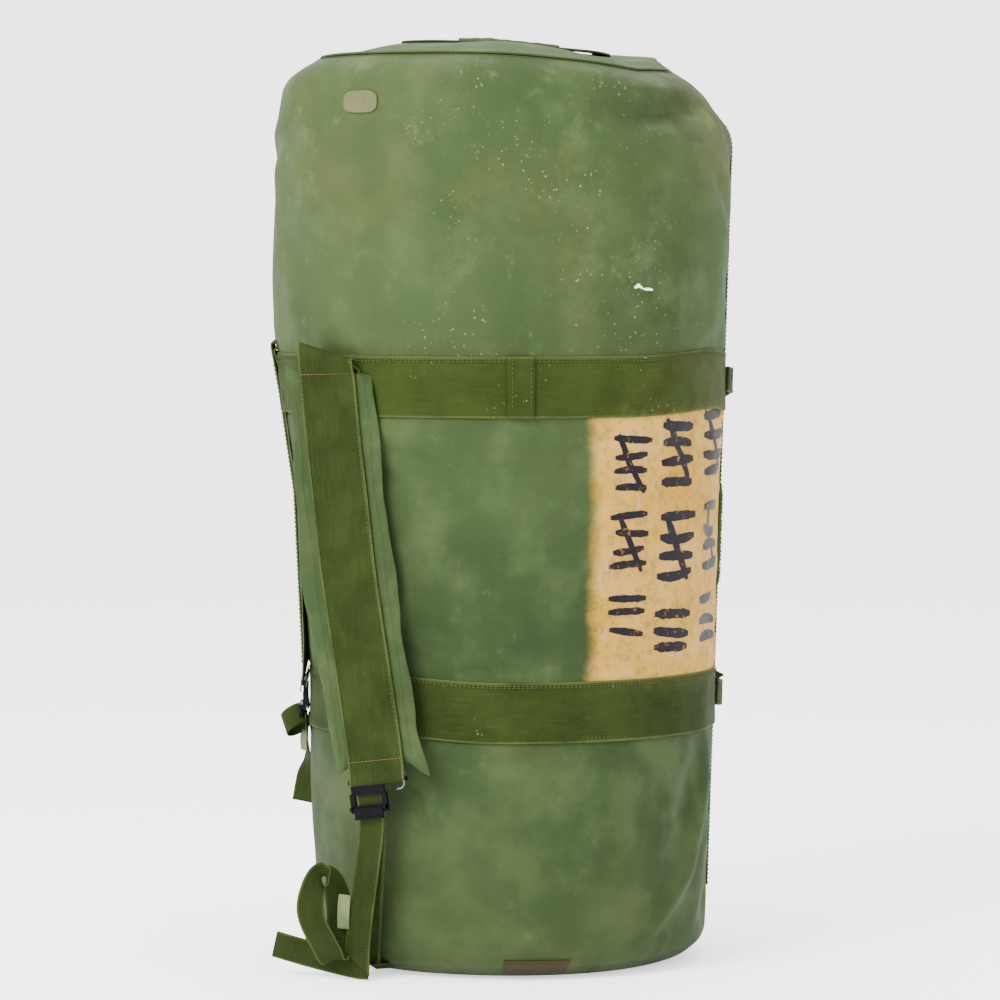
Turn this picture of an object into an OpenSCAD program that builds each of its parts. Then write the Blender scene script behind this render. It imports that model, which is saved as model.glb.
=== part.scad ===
// Stuffed nylon duffel bag standing on its foot, with two padded shoulder straps
// on the -Y side and a full-length zipped mouth on the +Y side.
// Millimetres. The origin is the centre of the foot, +Z is up.
// An azimuth of 0 looks out of the bag along -Y and grows towards +X.

/* [Bag] */
// Height of the stuffed bag without its top handle
bag_h = 872; // [840:1:900]
// Radius at the foot
foot_r = 189; // [185:1:192]
// Radius at the head
head_r = 216; // [212:1:218]
// Rounding of both end rims
rim_round = 38; // [34:1:42]
// Thickness of the coated body fabric with its lining
fabric = 3; // [2.6:0.1:3.2]

/* [Zipped mouth] */
// Height of the mouth's lower end
mouth_lo = 75; // [70:1:85]
// Height of the mouth's upper end
mouth_hi = 800; // [790:1:805]
// Half width of the mouth, in degrees round the bag
mouth_half = 20; // [19:0.5:22]
// Height of the zip slider when the mouth is closed
slider_z = 780; // [770:1:780]
// Radius of each zip coil
coil_r = 1.4; // [1.2:0.1:1.4]

/* [Webbing] */
// Width of the band and strap webbing
wide_web = 57; // [50:0.5:57]
// Thickness of the band and strap webbing
wide_t = 2.4; // [1.8:0.1:2.4]
// Width of the adjuster webbing
narrow_web = 25.4; // [20:0.2:25.4]
// Thickness of the adjuster webbing
narrow_t = 1.6; // [1.2:0.1:1.6]
// Width of the handle webbing
handle_web = 25; // [20:0.5:25]
// Height of the middle of the upper band
upper_band_z = 554; // [540:1:554]
// Height of the middle of the lower band
lower_band_z = 252; // [252:1:260]
// Azimuth at which each band stops, on both sides of the mouth
band_end = 155; // [150:0.5:155]
// Azimuth of the sewn lap in the upper band
lap_az = 65.5; // [60:0.5:80]
// Width of the lap, in degrees
lap_width = 7; // [5:0.5:9]

/* [Shoulder straps, right then left] */
// Height of the folds that the straps hang from
strap_top = 590; // [588:1:594]
// Azimuth of each fold
strap_az = [18.3, -21.1];
// Distance of each fold from the bag's axis
strap_out = [239, 226];
// Azimuth that each strap faces
strap_face = [42, -24];
// Lean of each strap within its own plane, in degrees
strap_lean = [7.8, -1.5];
// Lean of each strap in towards the bag, in degrees
strap_tuck = [0, 1.2];
// Length of each pad
pad_len = [373, 292];
// Width of the pads
pad_w = 93; // [80:1:93]
// Thickness of the pads
pad_t = 14; // [12:0.5:14]
// Sideways place of each buckle's window
window_x = [-11, 0];
// Length of the lower adjuster webs
lower_len = [126, 172];
// Length of the upper adjuster webs
upper_len = [98, 108];

/* [Handles] */
// Direction of the top handle, in degrees
grab_turn = 66; // [0:1:180]
// Length of the top handle
grab_span = 210; // [180:1:230]
// Reach of every handle from its hinge line
handle_reach = 62; // [55:1:62]
// Corner radius of every handle
handle_round = 30; // [27:1:34]
// Length of the grip sleeves
sleeve_len = 96; // [80:1:100]

/* [Patches] */
// Azimuth of the small tan patch
tan_az = 25; // [20:1:30]
// Height of the small tan patch
tan_z = 822; // [815:1:822]
// Azimuth of the brown patch at the foot
brown_az = 73; // [60:1:90]

/* [Hidden] */

right = 0;
left = 1;
body_green = "#6f8a63";
web_green = "#5d6f33";
steel_black = "#1c1c20";
pale_green = "#a3ab8c";

// Gap left under whatever is sewn on
sewn_gap = 0.3;
// Last angle of the rim arcs, and the step between their points
rim_end = 75;
rim_step = 12.5;
cone_tilt = atan((head_r - foot_r) / bag_h);
far = 300;

// The mouth flaps lie under the body fabric, with the zip tapes and coils on them
flap_depth = 5.6;
flap_t = 1.6;
tape_depth = 4.4;
tape_t = 1;
coil_depth = 4.9;
coil_x = 2;
flap_lap = 4;
flap_edge = 1.15;
tape_w = 4.2;
coil_ends = [81, 794];

// Slider plate, its bridge, and the pull under the bridge
slider_w = 12;
slider_l = 24;
slider_plate = [0.8, 3];
bridge_w = 3;
bridge_l = 10.6;
bridge_t = 1.6;
bridge_rise = 6;
pull_pin_r = 0.9;
pull_y = -3.2;
pull_z = 2.2;
pull_w = 10;
pull_l = 42;
pull_t = 1.6;

// Handles
handle_t = 2.4;
bead_r = 1.9;
sleeve_w = 32;
sleeve_t = 9;
carry_dip = 8;
carry_out = 8.4;
carry_az = 157.4;
carry_mid = (upper_band_z + lower_band_z) / 2;
carry_span = upper_band_z - lower_band_z + handle_web;
grab_z = bag_h + 5.4;
grab_y = 20;

// Strap, measured from its fold: -Y is outwards and -Z is down the strap
fold_r = 3;
web_y = -3.5;
pad_y = 6.2;
pad_drop = 19;
cover_t = 1.6;
web_below_pad = 11;
function web_len(i) = pad_drop + pad_len[i] + web_below_pad;

// Buckle, measured from the end of the strap's webbing
bar_r = 2.2;
bar_drop = 2.6;
frame_y = -3.9;
frame_t = 3.2;
frame_w = 38;
frame_top = 13;
frame_h = 18;
window_w = 27;
window_h = 9.5;
plate_w = 34;
lever_drop = 27;
lever_y = -5.9;
lever_pin_r = 1.3;
lever_hole_r = 1.36;
lever_w = 29;
lever_l = 9;
ear_x = 16.2;
ear_w = 2.2;
pivot_drop = 36;
pivot_r = 1.5;
pivot_y = -2;

// Adjuster webs between the base anchors and the buckles
anchor_z = 13;
anchor_gap = 5;
upper_y = 2.5;
upper_bead_y = 3.4;
lower_y = 4.6;

function out(az) = [sin(az), -cos(az), 0];
function along(az) = [cos(az), sin(az), 0];
function up(z) = [0, 0, z];
function r_at(z) = foot_r + (head_r - foot_r) * z / bag_h;
function arc(centre, r, first, last) =
    [for (a = [0 : rim_step : abs(last - first)])
        centre + r * [cos(first + sign(last - first) * a), sin(first + sign(last - first) * a)]];
rim_lo = [r_at(rim_round) - rim_round, rim_round];
rim_hi = [r_at(bag_h - rim_round) - rim_round, bag_h - rim_round];

// Places in a strap's frame, and the same places in the bag's
function fold_at(i) = strap_out[i] * out(strap_az[i]) + up(strap_top);
function tucked(i, p) = [p[0], p[1] * cos(strap_tuck[i]) - p[2] * sin(strap_tuck[i]),
    p[1] * sin(strap_tuck[i]) + p[2] * cos(strap_tuck[i])];
function leaned(i, p) = let (q = tucked(i, p)) [q[0] * cos(strap_lean[i]) - q[2] * sin(strap_lean[i]), q[1],
    q[0] * sin(strap_lean[i]) + q[2] * cos(strap_lean[i])];
function placed(i, p) = fold_at(i) + p[0] * along(strap_face[i]) - p[1] * out(strap_face[i]) + up(p[2]);
function pivot_at(i) = placed(i, leaned(i, [window_x[i], pivot_y, -web_len(i) - pivot_drop]));
// How far the base anchor lies inside of the buckle's pivot, along the way the strap faces
function inset(i) =
    let (p = pivot_at(i), b = p * out(strap_face[i]), r = r_at(anchor_z) + anchor_gap)
    b - sqrt(b * b - (p[0] * p[0] + p[1] * p[1] - r * r));
function anchor_at(i) = let (p = pivot_at(i) - inset(i) * out(strap_face[i])) [p[0], p[1], anchor_z];
function adjuster_tilt(i) = atan2(inset(i), pivot_at(i)[2] - anchor_z);

module in_strap(i) {
    translate(fold_at(i)) rotate([0, 0, strap_face[i]]) rotate([0, -strap_lean[i], 0])
        rotate([strap_tuck[i], 0, 0]) children();
}

module at_pivot(i) {
    translate(pivot_at(i)) rotate([0, 0, strap_face[i]]) children();
}

// A place on the bag's outer surface: +X is round the bag, -Y out of it, +Z up its side
module on_side(az, z) {
    translate(r_at(z) * out(az) + up(z)) rotate([0, 0, az]) rotate([cone_tilt, 0, 0]) children();
}

// A rod along X
module rod(r, l) {
    rotate([0, 90, 0]) cylinder(r = r, h = l, center = true, $fn = 48);
}

// A ring round the bag between two azimuths and two heights
module hoop(z0, z1, az0, az1, lift, t) {
    rotate([0, 0, az0 - 90]) rotate_extrude(angle = az1 - az0, $fn = 180)
        polygon([[r_at(z0) + lift, z0], [r_at(z0) + lift + t, z0],
            [r_at(z1) + lift + t, z1], [r_at(z1) + lift, z1]]);
}

module band(z, az0, az1, lift) {
    color(web_green) hoop(z - wide_web / 2, z + wide_web / 2, az0, az1, lift, wide_t);
}

module stadium(w, t) {
    square([w - t, t], center = true);
    for (side = [-1, 1])
        translate([side * (w - t) / 2, 0]) circle(d = t, $fn = 48);
}

// Fabric shell and its ends

module body_shell() {
    profile = concat(arc(rim_lo, rim_round, -rim_end, 0), arc(rim_hi, rim_round, 0, rim_end),
        arc(rim_hi, rim_round - fabric, rim_end, 0), arc(rim_lo, rim_round - fabric, 0, -rim_end));
    color(body_green) difference() {
        rotate_extrude($fn = 180) polygon(profile);
        translate(up(mouth_lo)) linear_extrude(mouth_hi - mouth_lo)
            polygon([[0, 0], far * [sin(180 - mouth_half), -cos(180 - mouth_half)],
                far * [sin(180 + mouth_half), -cos(180 + mouth_half)]]);
    }
}

module bottom_panel() {
    color(body_green) cylinder(r = rim_lo[0] + 8.4, h = fabric, $fn = 180);
}

module top_panel() {
    color(body_green) translate(up(bag_h - fabric)) cylinder(r = rim_hi[0] + 8.2, h = fabric, $fn = 180);
}

module bottom_binding() {
    color(web_green) rotate_extrude($fn = 180) translate(rim_lo + [8.8, -31]) circle(r = 2, $fn = 32);
}

module top_piping() {
    color(body_green) rotate_extrude($fn = 180)
        translate(rim_hi + (rim_round + 2.6) * [cos(rim_end), sin(rim_end)]) circle(r = 2.2, $fn = 32);
}

module upper_band() {
    band(upper_band_z, -band_end, band_end, sewn_gap);
}

module upper_band_lap() {
    band(upper_band_z, lap_az, lap_az + lap_width, 2 * sewn_gap + wide_t);
}

module lower_band() {
    band(lower_band_z, -band_end, band_end, sewn_gap);
}

module tan_patch() {
    color("#a79a72") hoop(tan_z - 11.5, tan_z + 11.5, tan_az - 5.1, tan_az + 5.1, sewn_gap, 0.8);
}

// Follows the rounding of the foot
module brown_patch() {
    r = rim_round + sewn_gap;
    color("#6a5433") rotate([0, 0, brown_az - 9 - 90]) rotate_extrude(angle = 18, $fn = 180)
        polygon(concat([for (a = [-66 : 9 : -30]) rim_lo + r * [cos(a), sin(a)]],
            [for (a = [-30 : -9 : -66]) rim_lo + (r + 0.8) * [cos(a), sin(a)]]));
}

// Mouth: patches, stops, flaps, tapes, coils, slider and pull

module mouth_patch(z) {
    color(web_green) hoop(z - 12, z + 12, 172, 188, sewn_gap, 1.6);
}

module mouth_patch_upper() {
    mouth_patch(mouth_hi + 18);
}

module mouth_patch_lower() {
    mouth_patch(mouth_lo - 18);
}

module zip_stop(z) {
    color(steel_black) on_side(180, z) translate([-4, 1, -2.1]) cube([8, 2.4, 4.2]);
}

module zip_stop_upper() {
    zip_stop(mouth_hi - 2.6);
}

module zip_stop_lower() {
    zip_stop(mouth_lo + 2.6);
}

// side is 1 on the wearer's right of the mouth and -1 on the left
module flap(side) {
    edge = 180 - side * flap_edge;
    root = 180 - side * (mouth_half + flap_lap);
    color(body_green) hoop(mouth_lo - 7, mouth_hi + 7, min(edge, root), max(edge, root),
        -flap_depth - flap_t, flap_t);
}

module tape(side) {
    edge = 180 - side * flap_edge;
    root = edge - side * tape_w;
    color(web_green) hoop(coil_ends[0], coil_ends[1], min(edge, root), max(edge, root),
        -tape_depth - tape_t, tape_t);
}

module coil(side) {
    color(steel_black) on_side(180, coil_ends[0]) translate([-side * coil_x, coil_depth, 0])
        cylinder(r = coil_r, h = (coil_ends[1] - coil_ends[0]) / cos(cone_tilt), $fn = 24);
}

module mouth_flap_right() {
    flap(1);
}

module mouth_flap_left() {
    flap(-1);
}

module zip_tape_right() {
    tape(1);
}

module zip_tape_left() {
    tape(-1);
}

module zip_coil_right() {
    coil(1);
}

module zip_coil_left() {
    coil(-1);
}

module zip_slider() {
    color(steel_black) on_side(180, slider_z) {
        translate([0, slider_plate[1], 0]) rotate([90, 90, 0])
            linear_extrude(slider_plate[1] - slider_plate[0]) stadium(slider_l, slider_w);
        for (end = [-1, 1])
            translate([-bridge_w / 2, -bridge_rise, end * (bridge_l - bridge_t) / 2 - bridge_t / 2])
                cube([bridge_w, bridge_rise + slider_plate[0] + 0.5, bridge_t]);
        translate([-bridge_w / 2, -bridge_rise, -bridge_l / 2]) cube([bridge_w, 1.4, bridge_l]);
    }
}

module zip_pull() {
    arm = 1.6;
    gap = 2.6;
    eye_end = 11;
    color(steel_black) on_side(180, slider_z) translate([0, pull_y, pull_z]) {
        rod(pull_pin_r, 2 * (gap + arm));
        for (side = [-1, 1])
            translate([side * (gap + arm / 2) - arm / 2, -pull_t / 2, -eye_end - 1])
                cube([arm, pull_t, eye_end + 1]);
        translate([0, pull_t / 2, -(eye_end + pull_l) / 2]) rotate([90, 90, 0])
            linear_extrude(pull_t) stadium(pull_l - eye_end, pull_w);
    }
}

// Handles lie in the XY plane with their hinge line along X and reach to +Y

module arch(w, h, r) {
    translate([-w / 2, 0]) square([w, h - r]);
    translate([-w / 2 + r, 0]) square([w - 2 * r, h]);
    for (side = [-1, 1])
        translate([side * (w / 2 - r), h - r]) circle(r = r, $fn = 72);
}

module handle(span) {
    color(web_green) {
        translate(up(-handle_t / 2)) linear_extrude(handle_t) difference() {
            arch(span, handle_reach, handle_round);
            translate([0, -1]) arch(span - 2 * handle_web, handle_reach - handle_web + 1,
                handle_round - handle_web);
        }
        for (side = [-1, 1])
            translate([side * (span - handle_web) / 2, 0, 0]) rod(bead_r, handle_web);
    }
}

module sleeve() {
    color(body_green) translate([0, handle_reach - handle_web / 2, 0]) rotate([90, 0, 90])
        translate(up(-sleeve_len / 2)) linear_extrude(sleeve_len) difference() {
            stadium(sleeve_w, sleeve_t);
            square([handle_web + 0.6, handle_t + 0.6], center = true);
        }
}

// Sewn tabs beside the hinge line, from the surface at height -rise up to the beads
module tabs(span, rise, back) {
    color(web_green) for (side = [-1, 1])
        translate([side * (span - handle_web) / 2, 0, 0]) hull() {
            translate([-handle_web / 2, -bead_r - 3, -2.7]) cube([handle_web, 2.4, handle_t]);
            translate([-handle_web / 2, -back, -rise]) cube([handle_web, 1, handle_t]);
        }
}

module on_top() {
    translate(up(grab_z)) rotate([0, 0, grab_turn]) translate([0, grab_y, 0]) mirror([0, 1, 0]) children();
}

// side is 1 for the handle on the right of the mouth
module on_mouth(side) {
    on_side(180 - side * (180 - carry_az), carry_mid) translate([0, -carry_out, 0])
        mirror([side < 0 ? 1 : 0, 0, 0]) rotate([0, 0, carry_dip]) rotate(a = 240, v = [1, 1, 1]) children();
}

module grab_tabs() {
    on_top() tabs(grab_span, grab_z - bag_h - sewn_gap, 34);
}

module grab_handle() {
    on_top() handle(grab_span);
}

module grab_sleeve() {
    on_top() sleeve();
}

module carry_tabs(side) {
    color(web_green) for (z = [lower_band_z, upper_band_z]) {
        hull() {
            on_side(180 - side * (180 - band_end - 0.3), z)
                translate([-0.5, -sewn_gap - handle_t, -handle_web / 2]) cube([1, handle_t, handle_web]);
            on_side(180 - side * (180 - carry_az), z) translate([0, -carry_out, 0])
                mirror([side < 0 ? 1 : 0, 0, 0])
                    translate([-bead_r - 1.6, 0.3, -handle_web / 2]) cube([0.8, handle_t, handle_web]);
        }
    }
}

module carry_tabs_right() {
    carry_tabs(1);
}

module carry_handle_right() {
    on_mouth(1) handle(carry_span);
}

module carry_sleeve_right() {
    on_mouth(1) sleeve();
}

module carry_tabs_left() {
    carry_tabs(-1);
}

module carry_handle_left() {
    on_mouth(-1) handle(carry_span);
}

module carry_sleeve_left() {
    on_mouth(-1) sleeve();
}

// Shoulder straps

// Web that leaves the upper band and stands out to the strap's fold
module strap_root(i) {
    z = upper_band_z + wide_web / 2 + 2;
    color(web_green) hull() {
        on_side(strap_az[i], z) translate([-wide_web / 2, -sewn_gap - wide_t, 0]) cube([wide_web, wide_t, 3]);
        translate(fold_at(i)) rotate([0, 0, strap_face[i]])
            translate([-wide_web / 2, fold_r + 0.7, -3]) cube([wide_web, wide_t, 3]);
    }
}

module strap_web(i) {
    color(web_green) {
        translate(fold_at(i)) rotate([0, 0, strap_face[i]]) rod(fold_r, wide_web);
        in_strap(i) translate([-wide_web / 2, web_y, -web_len(i)]) cube([wide_web, wide_t, web_len(i)]);
    }
}

module pad_cover(i) {
    color(body_green) in_strap(i) translate([0, pad_y, -pad_drop - pad_len[i]]) difference() {
        linear_extrude(pad_len[i]) stadium(pad_w, pad_t);
        translate(up(cover_t)) linear_extrude(pad_len[i] - 2 * cover_t)
            stadium(pad_w - 2 * cover_t, pad_t - 2 * cover_t);
    }
}

module pad_foam(i) {
    trim = cover_t + sewn_gap;
    color("#d8d2b8") in_strap(i) translate([0, pad_y, -pad_drop - pad_len[i] + trim])
        linear_extrude(pad_len[i] - 2 * trim) stadium(pad_w - 2 * trim, pad_t - 2 * trim);
}

module buckle_frame(i) {
    color(steel_black) in_strap(i) translate(up(-web_len(i))) {
        translate([0, web_y + wide_t / 2, -bar_drop]) rod(bar_r, wide_web + 3);
        translate([window_x[i] - plate_w / 2, frame_y + 0.4, -frame_top - 1])
            cube([plate_w, frame_t - 0.8, frame_top - bar_drop + 1]);
        difference() {
            translate([window_x[i] - frame_w / 2, frame_y, -frame_top - frame_h])
                cube([frame_w, frame_t, frame_h]);
            translate([window_x[i] - window_w / 2, frame_y - 1, -frame_top - 1.5 - window_h])
                cube([window_w, frame_t + 2, window_h]);
        }
        for (side = [-1, 1])
            translate([window_x[i] + side * (ear_x + ear_w / 2), 0, -lever_drop]) difference() {
                translate([-ear_w / 2, lever_y - 2.1, -2.1])
                    cube([ear_w, frame_y - lever_y + 2.1 + 0.5, 4.2]);
                translate([0, lever_y, 0]) rod(lever_hole_r, 4);
            }
    }
}

module buckle_lever(i) {
    color(steel_black) in_strap(i) translate([window_x[i], lever_y, -web_len(i) - lever_drop]) {
        rod(lever_pin_r, 2 * (ear_x + ear_w) - 0.2);
        translate([-lever_w / 2, -0.9, -lever_l]) cube([lever_w, 1.8, lever_l]);
        translate([-lever_w / 2, -2.4, -lever_l - 1]) cube([lever_w, 2.6, 2]);
    }
}

// Stretch of adjuster webbing seen through the buckle's window
module buckle_web(i) {
    color(web_green) in_strap(i)
        translate([window_x[i] - narrow_web / 2, frame_y + frame_t + sewn_gap, -web_len(i) - frame_top - 14])
            cube([narrow_web, narrow_t, 22]);
}

// The anchor end and the buckle end of the adjuster lie side by side, and the slack is their overlap
module adjuster_upper(i) {
    color(web_green) at_pivot(i) {
        translate([0, upper_bead_y, 0]) rod(pivot_r, narrow_web - 0.6);
        rotate([adjuster_tilt(i), 0, 0]) translate([-narrow_web / 2, upper_y, -upper_len[i]])
            cube([narrow_web, narrow_t, upper_len[i]]);
    }
}

module adjuster_lower(i) {
    color(web_green) translate(anchor_at(i)) rotate([0, 0, strap_face[i]]) {
        rod(pivot_r, narrow_web - 0.6);
        rotate([adjuster_tilt(i), 0, 0])
            translate([-narrow_web / 2, lower_y, 0]) cube([narrow_web, narrow_t, lower_len[i]]);
        rotate([adjuster_tilt(i), 0, 0])
            translate([-narrow_web / 2, 0, 0]) cube([narrow_web, lower_y + narrow_t, narrow_t]);
    }
}

module base_anchor(i) {
    az = atan2(anchor_at(i)[0], -anchor_at(i)[1]);
    color(web_green) hull() {
        translate(anchor_at(i)) rotate([0, 0, strap_face[i]])
            translate([-narrow_web / 2, -narrow_t / 2, -pivot_r - 1.4]) cube([narrow_web, narrow_t, 0.9]);
        translate(rim_lo[0] * out(az) + up(rim_lo[1])) rotate([0, 0, az]) rotate([50, 0, 0])
            translate([-narrow_web / 2, -rim_round - 1 - narrow_t, -3]) cube([narrow_web, narrow_t, 6]);
    }
}

module right_tail() {
    drop = pivot_at(right)[2];
    rise = 9;
    run = 108;
    // Hangs from the buckle, folds at the floor and runs off sideways on its edge
    at_pivot(right) {
        rod(pivot_r, narrow_web);
        rotate([90, 0, 0]) translate(up(-narrow_t / 2)) linear_extrude(narrow_t)
            polygon([[-narrow_web / 2, 0], [narrow_web / 2, 0], [narrow_web / 2, 4 - drop],
                [-narrow_web / 2, 4 - drop + narrow_web]]);
        translate([narrow_web / 2, narrow_t / 2 + narrow_t + sewn_gap, 0.6 - drop]) rotate([0, rise, 0])
            translate([-run, -narrow_t, 0]) cube([run, narrow_t, narrow_web]);
        translate([-narrow_web / 2 + 2, 0, 12 - drop]) cube([narrow_web - 6, narrow_t + sewn_gap, 4]);
    }
}

module left_tail() {
    length = 79;
    at_pivot(left) {
        rod(pivot_r, narrow_web);
        translate([-narrow_web / 2, -narrow_t / 2, -length]) cube([narrow_web, narrow_t, length]);
    }
}

// A flattened loop of adjuster webbing, standing along Z
module web_loop(l, t) {
    color(web_green) rotate([90, 0, 90]) translate(up(-narrow_web / 2)) linear_extrude(narrow_web)
        rotate(90) difference() {
            stadium(l, t);
            stadium(l - 2 * narrow_t, t - 2 * narrow_t);
        }
}

module tail_web_right() {
    color(web_green) right_tail();
}

module tail_loop_right() {
    at_pivot(right) translate([-32, 10.4, 68 - pivot_at(right)[2]]) rotate([0, -25, 0]) web_loop(74, 14);
}

module keeper_right() {
    color(pale_green) at_pivot(right) translate([-29, 1.1, 49 - pivot_at(right)[2]]) cube([15, 1.6, 31]);
}

module tail_web_left() {
    color(web_green) left_tail();
}

module tail_loop_left() {
    at_pivot(left) translate([0, -15, -14]) rotate([62, 0, 0]) web_loop(30, 12);
}

module keeper_left() {
    color(pale_green) at_pivot(left) translate([-narrow_web / 2 - 1, -narrow_t / 2 - 1.7, -44])
        cube([narrow_web + 2, 1.4, 18]);
}

module strap_root_right() {
    strap_root(right);
}

module strap_web_right() {
    strap_web(right);
}

module pad_cover_right() {
    pad_cover(right);
}

module pad_foam_right() {
    pad_foam(right);
}

module buckle_frame_right() {
    buckle_frame(right);
}

module buckle_lever_right() {
    buckle_lever(right);
}

module buckle_web_right() {
    buckle_web(right);
}

module adjuster_upper_right() {
    adjuster_upper(right);
}

module adjuster_lower_right() {
    adjuster_lower(right);
}

module base_anchor_right() {
    base_anchor(right);
}

module strap_root_left() {
    strap_root(left);
}

module strap_web_left() {
    strap_web(left);
}

module pad_cover_left() {
    pad_cover(left);
}

module pad_foam_left() {
    pad_foam(left);
}

module buckle_frame_left() {
    buckle_frame(left);
}

module buckle_lever_left() {
    buckle_lever(left);
}

module buckle_web_left() {
    buckle_web(left);
}

module adjuster_upper_left() {
    adjuster_upper(left);
}

module adjuster_lower_left() {
    adjuster_lower(left);
}

module base_anchor_left() {
    base_anchor(left);
}

body_shell();
bottom_panel();
top_panel();
bottom_binding();
top_piping();
upper_band();
upper_band_lap();
lower_band();
tan_patch();
brown_patch();
mouth_patch_upper();
mouth_patch_lower();
zip_stop_upper();
zip_stop_lower();
mouth_flap_right();
mouth_flap_left();
zip_tape_right();
zip_tape_left();
zip_coil_right();
zip_coil_left();
zip_slider();
zip_pull();
grab_tabs();
grab_handle();
grab_sleeve();
carry_tabs_right();
carry_handle_right();
carry_sleeve_right();
carry_tabs_left();
carry_handle_left();
carry_sleeve_left();
strap_root_right();
strap_web_right();
pad_cover_right();
pad_foam_right();
buckle_frame_right();
buckle_lever_right();
buckle_web_right();
adjuster_upper_right();
adjuster_lower_right();
tail_web_right();
tail_loop_right();
keeper_right();
base_anchor_right();
strap_root_left();
strap_web_left();
pad_cover_left();
pad_foam_left();
buckle_frame_left();
buckle_lever_left();
buckle_web_left();
adjuster_upper_left();
adjuster_lower_left();
tail_web_left();
tail_loop_left();
keeper_left();
base_anchor_left();
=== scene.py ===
import math

import bmesh
import bpy
import numpy as np
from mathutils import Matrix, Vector
from mathutils.bvhtree import BVHTree


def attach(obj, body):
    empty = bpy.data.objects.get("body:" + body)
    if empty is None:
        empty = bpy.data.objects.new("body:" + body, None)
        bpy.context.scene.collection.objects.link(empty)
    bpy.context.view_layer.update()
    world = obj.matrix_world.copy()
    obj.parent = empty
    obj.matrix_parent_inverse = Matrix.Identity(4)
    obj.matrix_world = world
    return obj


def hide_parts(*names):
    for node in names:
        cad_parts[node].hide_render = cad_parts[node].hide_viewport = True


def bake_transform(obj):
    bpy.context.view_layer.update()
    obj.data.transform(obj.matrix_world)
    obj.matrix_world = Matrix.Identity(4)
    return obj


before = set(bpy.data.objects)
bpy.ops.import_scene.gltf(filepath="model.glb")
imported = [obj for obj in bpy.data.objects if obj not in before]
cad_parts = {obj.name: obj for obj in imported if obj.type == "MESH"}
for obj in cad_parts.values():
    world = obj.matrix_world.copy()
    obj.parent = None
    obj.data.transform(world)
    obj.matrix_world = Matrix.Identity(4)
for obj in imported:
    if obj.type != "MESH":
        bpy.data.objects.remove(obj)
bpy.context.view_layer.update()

# Sizes in metres and angles in degrees, the same as the frame's
BAG_H = 0.872
FOOT_R = 0.189
HEAD_R = 0.216
RIM = 0.038
RIM_END = 75
UPPER_Z = 0.554
LOWER_Z = 0.252
WIDE = 0.057
NARROW = 0.0254
BAND_END = 155
MOUTH_LO = 0.075
MOUTH_HI = 0.800
MOUTH_HALF = 20
CAM_AZ = 66
UP = np.array([0.0, 0.0, 1.0])
SIDES = ("right", "left")
STRAP_TOP = 0.590
STRAP_AZ = (18.3, -21.1)
STRAP_OUT = (0.239, 0.226)
STRAP_FACE = (42, -24)
STRAP_LEAN = (7.8, -1.5)
STRAP_TUCK = (0.0, 1.2)
PAD_LEN = (0.373, 0.292)
PAD_W = 0.093
WINDOW_X = (-0.011, 0.0)
ANCHOR_Z = 0.013


def out(az):
    """Unit vectors out of the bag at these azimuths."""
    a = np.radians(np.asarray(az, float))
    return np.stack([np.sin(a), -np.cos(a), np.zeros_like(a)], -1)


def along(az):
    """Unit vectors round the bag at these azimuths."""
    a = np.radians(np.asarray(az, float))
    return np.stack([np.cos(a), np.sin(a), np.zeros_like(a)], -1)


def r_at(z):
    return FOOT_R + (HEAD_R - FOOT_R) * np.asarray(z, float) / BAG_H


def smooth(x, lo, hi):
    t = np.clip((np.asarray(x, float) - lo) / (hi - lo), 0, 1)
    return t * t * (3 - 2 * t)


def near(x, centre, half):
    """1 at centre, falling smoothly to 0 at half on either side."""
    return 1 - smooth(np.abs(np.asarray(x, float) - centre), 0, half)


def side(az, z, lift=0.0):
    """Points on the bag's outer surface, raised by lift."""
    az, z = np.broadcast_arrays(np.asarray(az, float), np.asarray(z, float))
    return (r_at(z) + lift)[..., None] * out(az) + z[..., None] * UP


def turned(az, centre):
    """Azimuth from centre, from -180 to 180."""
    return (np.asarray(az, float) - centre + 180) % 360 - 180


# How far the head's rim has dropped: (azimuth, metres)
HEAD_DROP = (
    (-150, 0.001), (-100, 0.002), (-60, 0.006), (-24, 0.009), (20, 0.008), (62, 0.009),
    (86, 0.016), (106, 0.023), (130, 0.021), (156, 0.020), (180, 0.008), (210, 0.001))
# Creases in the skin: azimuth and height of both ends, half width, depth
CREASES = (
    (88, 0.812, 132, 0.826, 0.020, 0.0075), (98, 0.800, 122, 0.742, 0.012, 0.0040),
    (58, 0.828, 84, 0.806, 0.018, 0.0030), (112, 0.790, 146, 0.700, 0.013, 0.0028),
    (4, 0.800, -22, 0.764, 0.014, 0.0030), (46, 0.204, 84, 0.199, 0.010, 0.0026),
    (50, 0.180, 76, 0.186, 0.009, 0.0020), (88, 0.214, 118, 0.196, 0.010, 0.0022),
    (30, 0.500, 52, 0.470, 0.011, 0.0016), (28, 0.330, 44, 0.296, 0.010, 0.0018),
    (-100, 0.500, -60, 0.440, 0.013, 0.0030), (-130, 0.380, -90, 0.330, 0.012, 0.0026),
    (-70, 0.760, -110, 0.700, 0.016, 0.0034), (-50, 0.150, -110, 0.120, 0.012, 0.0024),
    (60, 0.640, 100, 0.625, 0.012, 0.0014), (-140, 0.830, -80, 0.815, 0.018, 0.0050),
    (20, 0.090, 60, 0.070, 0.010, 0.0016), (96, 0.700, 140, 0.655, 0.014, 0.0018))


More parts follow.
